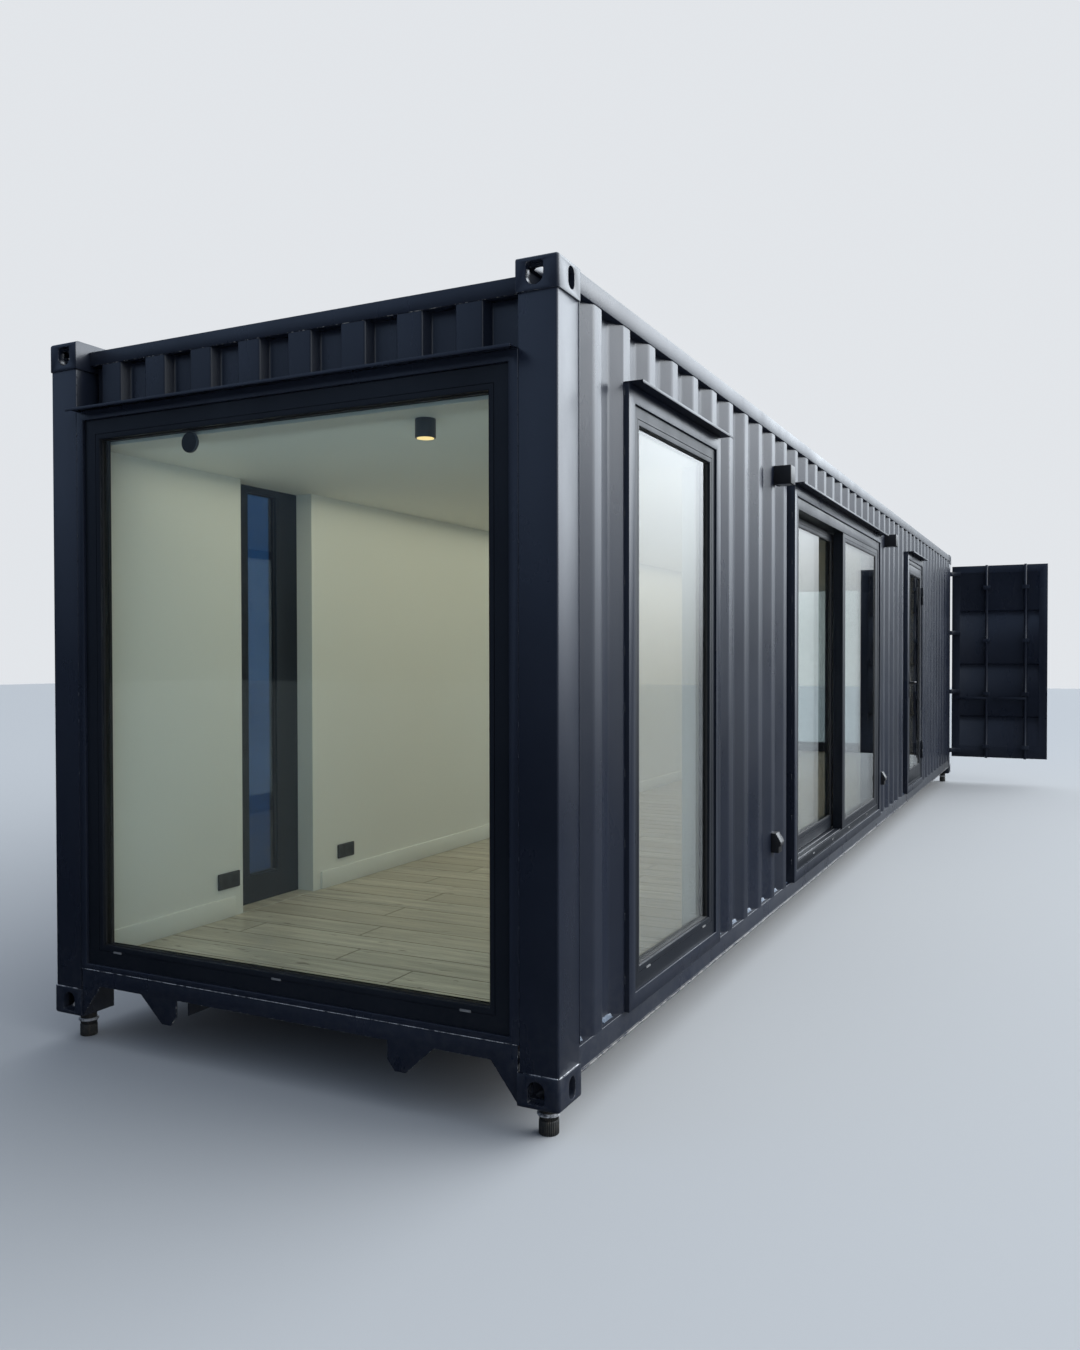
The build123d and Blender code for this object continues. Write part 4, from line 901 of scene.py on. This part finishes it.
# %% [markdown]
# ## Thresholds
# Small blocks with chamfered edges turn up all over the cabin: strips, caps, rails, plates. A
# cube with a Bevel modifier would do for one of them. Here each is bevelled as a cube of its own
# and then added to the bigger mesh, so many blocks can be one piece and no bevel meets another.

# %% A chamfered block
def soft_box(bm, centre, size, edge):
    """A box with chamfered edges, as one closed shell."""
    shell = bmesh.new()
    bmesh.ops.create_cube(shell, size=1.0)
    for vert in shell.verts:
        vert.co = Vector(centre) + Vector([vert.co[k] * size[k] for k in range(3)])
    bmesh.ops.bevel(shell, geom=shell.edges[:], offset=edge, segments=2, affect="EDGES", clamp_overlap=True)
    mesh = bpy.data.meshes.new("shell")
    shell.to_mesh(mesh)
    shell.free()
    bm.from_mesh(mesh)
    bpy.data.meshes.remove(mesh)


# %% [markdown]
# The floor runs on to the frames where the wall lining is cut away for an opening. Each
# threshold is one thin strip from the edge of the floor to the back of a frame.

# %% Thresholds
bm = bmesh.new()
sliding_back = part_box("sliding_door_frame")[1][1]
door_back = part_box("glazed_door_frame")[1][1]
window_back = side_face + frame_depth
strips = [(0.559, 1.603, window_back, floor_low[1]), (3.245, 6.279, sliding_back, floor_low[1]),
          (8.017, 9.048, door_back, floor_low[1]), (0.907, 1.473, floor_high[1], 2 * mid_y - window_back),
          (-0.021, floor_low[0], 0.105, 2.154), (floor_high[0], 11.833, 0.105, 2.154)]
for x0, x1, y0, y1 in strips:
    soft_box(bm, ((x0 + x1) / 2, (y0 + y1) / 2, floor_high[2] + 0.0005), (x1 - x0, y1 - y0, 0.002), 0.0006)
add_piece("thresholds", bm, "cabin", oak_floor)
print(len(strips), "thresholds")

# %% [markdown]
# ## Small fittings
# Rain that gets into a frame leaves by slots in its lower profile. A pale cap covers each slot,
# and it is just a chamfered block half sunk in the face of the profile. They are tiny, but a
# row of them tells the eye how big the window is.

# %% Drain caps
caps = bmesh.new()
for y in (0.286, 1.134, 1.985):
    soft_box(caps, (-0.087, y, 0.412), (0.004, 0.046, 0.009), 0.0015)
for x in (0.72, 1.44):
    soft_box(caps, (x, -0.095, 0.412), (0.046, 0.004, 0.009), 0.0015)
for x in (3.75, 4.35, 4.95, 5.70):
    soft_box(caps, (x, -0.095, 0.379), (0.046, 0.004, 0.009), 0.0015)
capped = add_piece("drain_caps", caps, "cabin", pale_plastic)
print("drain caps", len(capped.data.polygons), "faces")

# %% [markdown]
# The wheels of a sliding door run on bright metal rails. The outer pair shows only where the
# fixed leaf leaves the sill bare; the inner pair runs the whole way. A rounded profile would be
# truer, but only the bright top edges show, so chamfered strips are enough.

# %% Rails on the sill of the sliding door
rails = bmesh.new()
for middle, length, pair in ((4.014, 1.396, (-0.078, -0.036)), (4.762, 2.89, (0.002, 0.032))):
    for y in pair:
        soft_box(rails, (middle, y, 0.4005), (length, 0.003, 0.003), 0.0008)
add_piece("sill_rails", rails, "cabin", steel_grey)
print("4 sill rails")

# %% [markdown]
# ## Welds
# Posts, surrounds and rails are welded together. A weld is a row of overlapping scales. A smooth
# tube with a bump would look like a cable, so the tube is cut into slices every 3.5 mm and its
# radius swings from slice to slice, with a little chance in it. Both ends taper off.

# %% One weld
SLICE = 0.0035


def weld(bm, start, end, radius, side):
    """A bead of overlapping scales; side is a direction that points out of the joint."""
    start, end = Vector(start), Vector(end)
    along = (end - start).normalized()
    across = along.cross(Vector(side)).normalized()
    out = across.cross(along).normalized()
    count = max(3, int((end - start).length / SLICE))
    rings = []
    for i in range(count + 1):
        scale = 0.8 + 0.2 * math.sin(i * 2.1) + random.uniform(-0.06, 0.06)
        if i in (0, count):
            scale *= 0.4
        centre = start + along * (end - start).length * i / count
        rings.append([bm.verts.new(centre + radius * scale * (math.cos(a) * across + math.sin(a) * out))
                      for a in (2 * math.pi * k / 6 for k in range(6))])
    skin(bm, rings)


# %% [markdown]
# A long seam is not welded all the way, because the heat would warp the sheet. It gets stitches
# a hand apart, and a hand-held torch never spaces them quite evenly.

# %% A row of stitches
def stitches(bm, start, end, radius, side, length=0.030, pitch=0.25):
    """Short welds along a seam, at a pitch that varies a little as handwork does."""
    start, end = Vector(start), Vector(end)
    whole = (end - start).length
    along = (end - start).normalized()
    place = 0.06
    while place + length < whole:
        weld(bm, start + along * place, start + along * (place + length), radius, side)
        place += pitch * random.uniform(0.85, 1.15)


# %% [markdown]
# Stitches run up the front window's surround and the surrounds in the right wall, in a slightly
# lighter paint that paints their sheen. Full beads join the posts to the walls and to the castings.
# Those near the ground have lost their paint to stones and boots, and their pale finish also paints
# the highlights they catch, so they are a piece of their own.

# %% Welds of the front and the sides
welds, rubbed_and_highlit = bmesh.new(), bmesh.new()
to_front, to_right = (-1, 0, 0), (0, -1, 0)
post_front, post_side = -0.0975, -0.0842
for y in (0.0665, 2 * mid_y - 0.0665):
    stitches(welds, (post_front, y, 0.33), (post_front, y, 2.70), 0.0028, to_front, 0.016, 0.11)
    stitches(welds, (-0.0945, y, 2.72), (-0.0945, y, 2.89), 0.0026, to_front, 0.010, 0.035)
weld(rubbed_and_highlit, (-0.0965, 0.075, 0.3262), (-0.0965, 2.184, 0.3262), 0.0024, to_front)
for x0, x1 in openings[RIGHT]:
    stitches(welds, (x0 - 0.001, -0.085, 0.34), (x0 - 0.001, -0.085, 2.708), 0.0035, (-1, -1, 0))
    stitches(welds, (x1 + 0.001, -0.085, 0.34), (x1 + 0.001, -0.085, 2.708), 0.0035, (1, -1, 0))
for y, outward in ((post_side, -1), (2 * mid_y - post_side, 1)):
    weld(welds, (0.0748, y, 0.30), (0.0748, y, 2.91), 0.0022, (0, outward, 0))
for z, beads in ((0.2335, rubbed_and_highlit), (2.8925, welds)):
    weld(beads, (post_front, -0.082, z), (post_front, 0.05, z), 0.0028, to_front)
    weld(beads, (post_front, 2 * mid_y - 0.05, z), (post_front, 2 * mid_y + 0.082, z), 0.0028, to_front)
    weld(beads, (-0.093, post_side, z), (0.065, post_side, z), 0.0028, to_right)
# The stitches' slightly lighter paint is a painted sheen.
weld_beads = add_piece("weld_beads", welds, "cabin", stitch_paint_and_sheen)
add_piece("rubbed_highlit_welds", rubbed_and_highlit, "cabin", pale_wear_and_highlight)
print("weld beads", len(weld_beads.data.polygons), "faces")

# %% [markdown]
# ## Sealant
# Where the corrugated sheet stands on the bottom rail, a painted bead of sealant fills the corner
# of every fold and keeps the rain out. It follows the same path as the sheet, pushed outwards by
# a small curved section, and leaves out the crests, which hang just outside the rail.

# %% Sealant along the foot of the long walls
BEAD = ((-0.001, 0.0), (0.015, 0.0003), (0.007, 0.0045), (0.0003, 0.012))


def foot_bead(bm, x0, x1, side):
    """A bead with the section BEAD, as (reach out of the sheet, height), in one run per valley."""
    face, path = side_path(x0, x1, side)
    runs = [[]]
    for i, here in enumerate(path):
        ahead = path[min(i + 1, len(path) - 1)] - path[max(i - 1, 0)]
        out = Vector((ahead.y, -ahead.x)).normalized() * side
        if (here.y - face) * side > 0.010:
            runs[-1].append([(here.x + out.x * reach, here.y + out.y * reach, wall_low + lift)
                             for reach, lift in BEAD])
        else:
            runs.append([])
    for run in runs:
        if len(run) > 2:
            skin(bm, [[bm.verts.new(corner) for corner in row] for row in run])


sealant = bmesh.new()
for x0, x1, side in full_height:
    foot_bead(sealant, x0, x1, side)
# The sealant's lighter, bluer paint partly paints the sky reflection on it.
bead = add_piece("wall_foot_sealant", sealant, "cabin", sealant_paint_and_sky_sheen)
print("sealant", len(bead.data.polygons), "faces")

# %% [markdown]
# ## Lamps, sockets and lock
# The lenses of the lamps, the wells of the sockets and the parts of the lock are all flat rounds.
# A ready-made cylinder would have to be turned and moved as an object. One function here turns
# a circle to face any way and gives it a thickness; with a hole it becomes a ring.

# %% Lenses of the spot and the wall lamps
def round_plate(bm, centre, radius, thickness, axis, hole=None, segments=32):
    centre, axis = Vector(centre), Vector(axis).normalized()
    turn = Vector((0, 0, 1)).rotation_difference(axis).to_matrix()
    levels = [(radius, 0.0), (radius, thickness)]
    if hole:
        levels += [(hole, thickness), (hole, 0.0)]
    angles = [2 * math.pi * k / segments for k in range(segments)]
    skin(bm, [[bm.verts.new(centre + lift * axis + turn @ Vector((r * math.cos(a), r * math.sin(a), 0)))
               for a in angles] for r, lift in levels], closed=bool(hole))


spot_low, spot_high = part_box("ceiling_spot")
spot_x, spot_y = (spot_low[0] + spot_high[0]) / 2, (spot_low[1] + spot_high[1]) / 2
bm = bmesh.new()
round_plate(bm, (spot_x, spot_y, spot_low[2] + 0.0005), 0.033, 0.002, (0, 0, -1))
add_piece("spot_lens", bm, "cabin", warm_lens)

bm = bmesh.new()
for x in (2.792, 6.676):
    for z in (2.639, 2.743):
        soft_box(bm, (x, -0.134, z), (0.066, 0.066, 0.003), 0.0008)
add_piece("lamp_lenses", bm, "cabin", clear_lens)
print("ceiling spot at x", round(spot_x, 3), "and y", round(spot_y, 3))

# %% [markdown]
# A double socket is a plate with two round wells, each with a raised rim and two pin holes. A
# Boolean could cut the holes. Here they are small rounds that stand half a millimetre proud,
# which nobody can tell at this size, and the mesh stays light.

# %% Sockets in the room
socket_low, socket_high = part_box("indoor_sockets")
plates, wells = bmesh.new(), bmesh.new()
inward = (0, 1, 0)
face, z = socket_low[1], (socket_low[2] + socket_high[2]) / 2
for x in (0.800, 1.770):
    soft_box(plates, (x, face + 0.0055, z), (0.152, 0.011, 0.080), 0.0025)
    for well in (x - 0.0355, x + 0.0355):
        round_plate(wells, (well, face - 0.0004, z), 0.022, 0.0014, inward, hole=0.0195)
        round_plate(wells, (well, face - 0.0002, z), 0.019, 0.001, inward)
        for pin in (-0.0095, 0.0095):
            round_plate(wells, (well + pin, face - 0.0006, z), 0.0026, 0.001, inward, segments=16)
add_piece("socket_plates", plates, "cabin", black_plastic, ["indoor_sockets"])
add_piece("socket_wells", wells, "cabin", gasket_rubber)
print("2 double sockets at", round(z, 3), "m")

# %% [markdown]
# The lever and its plates keep their own shape, and a bright lock cylinder shows under the
# lever. The cylinder rides on the door and not on the lever, so it doesn't turn with it.

# %% Lever and lock
eased_copy("handle_plates", 0.002, lamp_coating)
eased_copy("lever_handle", 0.0008, lamp_coating)
bm = bmesh.new()
lock_x, lock_z = 8.111, 1.328
round_plate(bm, (lock_x, side_face - 0.0085, lock_z), 0.0085, 0.004, to_right)
soft_box(bm, (lock_x, side_face - 0.0105, lock_z - 0.013), (0.010, 0.004, 0.022), 0.0012)
round_plate(bm, (lock_x, side_face - 0.0123, lock_z), 0.0065, 0.001, to_right)
add_piece("lock_cylinder", bm, "glazed_door", steel_grey)
print("lock at", lock_z, "m")

# %% [markdown]
# ## Levelling feet
# Each foot is a threaded jack: a square plate under the casting, a bright rubbed rim, a neck, a
# slotted ring that a spanner turns, and a ribbed body. A Screw modifier could turn the outline,
# but not the ribs. Here the outline is turned in steps, and at two steps in four the radius
# draws in a little, which gives ribs and slots by itself.

# %% Feet
foot_low, foot_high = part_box("levelling_feet")
foot_half = 0.046
foot_turns = 120


def turned(bm, centre, outline, rib=0.0):
    """Turns (radius, level) pairs about the vertical axis; two corners in four step in by rib."""
    rings = []
    for radius, z in outline:
        ring = []
        for k in range(foot_turns):
            reach, a = radius - (rib if k % 4 in (0, 1) else 0.0), 2 * math.pi * k / foot_turns
            ring.append(bm.verts.new((centre[0] + reach * math.cos(a), centre[1] + reach * math.sin(a), z)))
        rings.append(ring)
    skin(bm, rings)


ribbed_body = [(0.0335, 0.0), (0.036, 0.002), (0.036, 0.048), (0.034, 0.051)]
slotted_ring = [(0.030, 0.050), (0.030, 0.054), (0.0345, 0.055), (0.0345, 0.062), (0.033, 0.063)]
neck = [(0.027, 0.062), (0.027, 0.070), (0.034, 0.075), (0.034, 0.110)]
rim = [(0.036, 0.0665), (0.0405, 0.0675), (0.0425, 0.070), (0.0425, 0.074), (0.038, 0.0785)]
feet, rims = bmesh.new(), bmesh.new()
for x in (foot_low[0] + foot_half, foot_high[0] - foot_half):
    for y in (foot_low[1] + foot_half, foot_high[1] - foot_half):
        turned(feet, (x, y), ribbed_body, 0.0016)
        turned(feet, (x, y), slotted_ring, 0.0025)
        turned(feet, (x, y), neck)
        turned(rims, (x, y), rim)
        soft_box(feet, (x, y, 0.112), (2 * foot_half, 2 * foot_half, 0.006), 0.0015)
add_piece("feet_turned", feet, "cabin", foot_steel, ["levelling_feet"])
add_piece("foot_rims", rims, "cabin", pale_wear_and_highlight)
print("feet", round(foot_high[2], 4), "m high")

# %% [markdown]
# ## Floor and backdrop
# The object stands on a pale floor that runs out of sight. A photo studio curves a big sheet up
# behind the object. For a cabin of 12 m a flat floor and a sky of nearly the same tone are
# simpler. The floor is kept out of mirror reflections, which would turn the lower half of the
# dark steel grey.

# %% Studio floor
bm = bmesh.new()
bmesh.ops.create_grid(bm, x_segments=1, y_segments=1, size=60.0)
floor_mesh = bpy.data.meshes.new("studio_floor")
bm.to_mesh(floor_mesh)
bm.free()
studio_floor = bpy.data.objects.new("studio_floor", floor_mesh)
bpy.context.scene.collection.objects.link(studio_floor)
studio_floor.data.materials.append(new_material("studio_floor", (0.43, 0.43, 0.43), 0.9, specular=0.2))
studio_floor.visible_glossy = False
print("floor", round(studio_floor.dimensions.x), "m wide")

# %% [markdown]
# ## Sky
# Dark satin paint is seen mostly by what it mirrors, so the sky does most of the work. A sky
# picture would bring its own clouds and sun into every pane. This one is built from the
# direction of the ray alone: how well it lines up with a chosen direction, and how high it goes.

# %% Directions in the sky
world = bpy.data.worlds.new("world")
bpy.context.scene.world = world
world.use_nodes = True
ray = add_node(world, "ShaderNodeTexCoord").outputs["Generated"]
axes = add_node(world, "ShaderNodeSeparateXYZ")
join(world, ray, axes.inputs["Vector"])


def alignment(direction):
    """1 where the ray points in the direction, falling to -1 behind."""
    node = add_node(world, "ShaderNodeVectorMath", operation="DOT_PRODUCT")
    join(world, ray, node.inputs[0])
    node.inputs[1].default_value = direction
    return node.outputs["Value"]


print("the sky reads", ", ".join(part.name for part in axes.outputs), "of each ray")

# %% [markdown]
# The light is stronger towards the sliding door side and higher up, and weak below the horizon.
# Soft patches stand where the post and the sheets of the long side look, and a weak one where
# the header looks. They do what big white panels do in a photo studio.

# %% Light of the sky
def soft_range(value, *limits):
    return remap(world, value, *limits, curve="SMOOTHSTEP")


door_side = alignment((0.71, -0.71, 0.0))
glow = combine(world, "MULTIPLY", soft_range(door_side, -0.5, 0.7, 0.19, 1.0),
               soft_range(axes.outputs["Z"], 0.0, 0.4, 0.33, 2.1))
glow = combine(world, "MULTIPLY", glow, soft_range(axes.outputs["Z"], -0.22, 0.03, 0.3, 1.0))
for direction, edge, full, strength in (((0.79, -0.44, 0.43), 0.87, 0.98, 3.15),
                                        ((0.37, -0.85, 0.38), 0.925, 0.985, 4.0),
                                        ((-0.70, 0.58, 0.44), 0.90, 0.985, 0.28)):
    patch = soft_range(alignment(Vector(direction).normalized()), edge, full, 0.0, strength)
    glow = combine(world, "ADD", glow, patch)

print("sky built from", len(world.node_tree.nodes), "nodes")

# %% [markdown]
# The camera itself, and rays that pass on through the glass, see an even pale backdrop instead.
# Rays that turn back inside a pane and leave towards the front would lay a grey veil over the
# room, so they see the darker sky and only a little of the backdrop. The shaded side is bluer.

# %% Backdrop and colour
path = add_node(world, "ShaderNodeLightPath")
onward = combine(world, "MULTIPLY", path.outputs["Is Transmission Ray"],
                 soft_range(axes.outputs["X"], -0.25, -0.05, 0.12, 1.0))
direct = combine(world, "MAXIMUM", path.outputs["Is Camera Ray"], onward)
seen = add_node(world, "ShaderNodeMix", data_type="FLOAT")
join(world, direct, seen.inputs["Factor"])
join(world, glow, seen.inputs[2])
seen.inputs[3].default_value = 0.82
cool = mix_colours(world, soft_range(door_side, -0.6, 0.3, 0.0, 1.0), (0.50, 0.68, 1.0), (0.86, 0.93, 1.0))
sky = world.node_tree.nodes["Background"].inputs
join(world, seen.outputs[0], sky["Strength"])
join(world, mix_colours(world, direct, cool, (0.93, 0.96, 1.0)), sky["Color"])
print("backdrop level", round(seen.inputs[3].default_value, 2))

# %% [markdown]
# ## Lamps
# One large soft lamp stands off the sliding door side, so the cabin throws a soft shadow.
# The sky alone leaves the room dim, because glass holds much light back. So a wide warm lamp
# hangs under the ceiling and a weak cool one stands behind the front window. They only light:
# no camera ray, mirror ray or ray through glass sees them.

# %% Lamps
def soft_lamp(name, place, target, width, height, power, colour=(1.0, 1.0, 1.0)):
    data = bpy.data.lights.new(name, "AREA")
    data.shape = "RECTANGLE"
    data.size, data.size_y = width, height
    data.energy = power
    data.color = colour
    lamp = bpy.data.objects.new(name, data)
    lamp.location = place
    lamp.rotation_euler = (Vector(target) - Vector(place)).to_track_quat("-Z", "Y").to_euler()
    bpy.context.scene.collection.objects.link(lamp)
    return lamp


soft_lamp("side_lamp", (6.0, -9.0, 7.0), (5.0, 0.0, 1.2), 12.0, 5.0, 350.0)
room_lamp = soft_lamp("room_lamp", (5.9, mid_y, 2.55), (5.9, mid_y, 0.4), 11.4, 1.9, 49.0,
                      (1.0, 0.89, 0.68))
window_lamp = soft_lamp("window_lamp", (0.04, mid_y, 1.5), (6.0, mid_y, 1.2), 1.8, 2.0, 2.5,
                        (0.80, 0.96, 1.0))
for lamp in (room_lamp, window_lamp):
    lamp.visible_camera = lamp.visible_glossy = lamp.visible_transmission = False
bpy.context.scene.view_settings.view_transform = "Standard"
print(len(bpy.data.lights), "lamps")
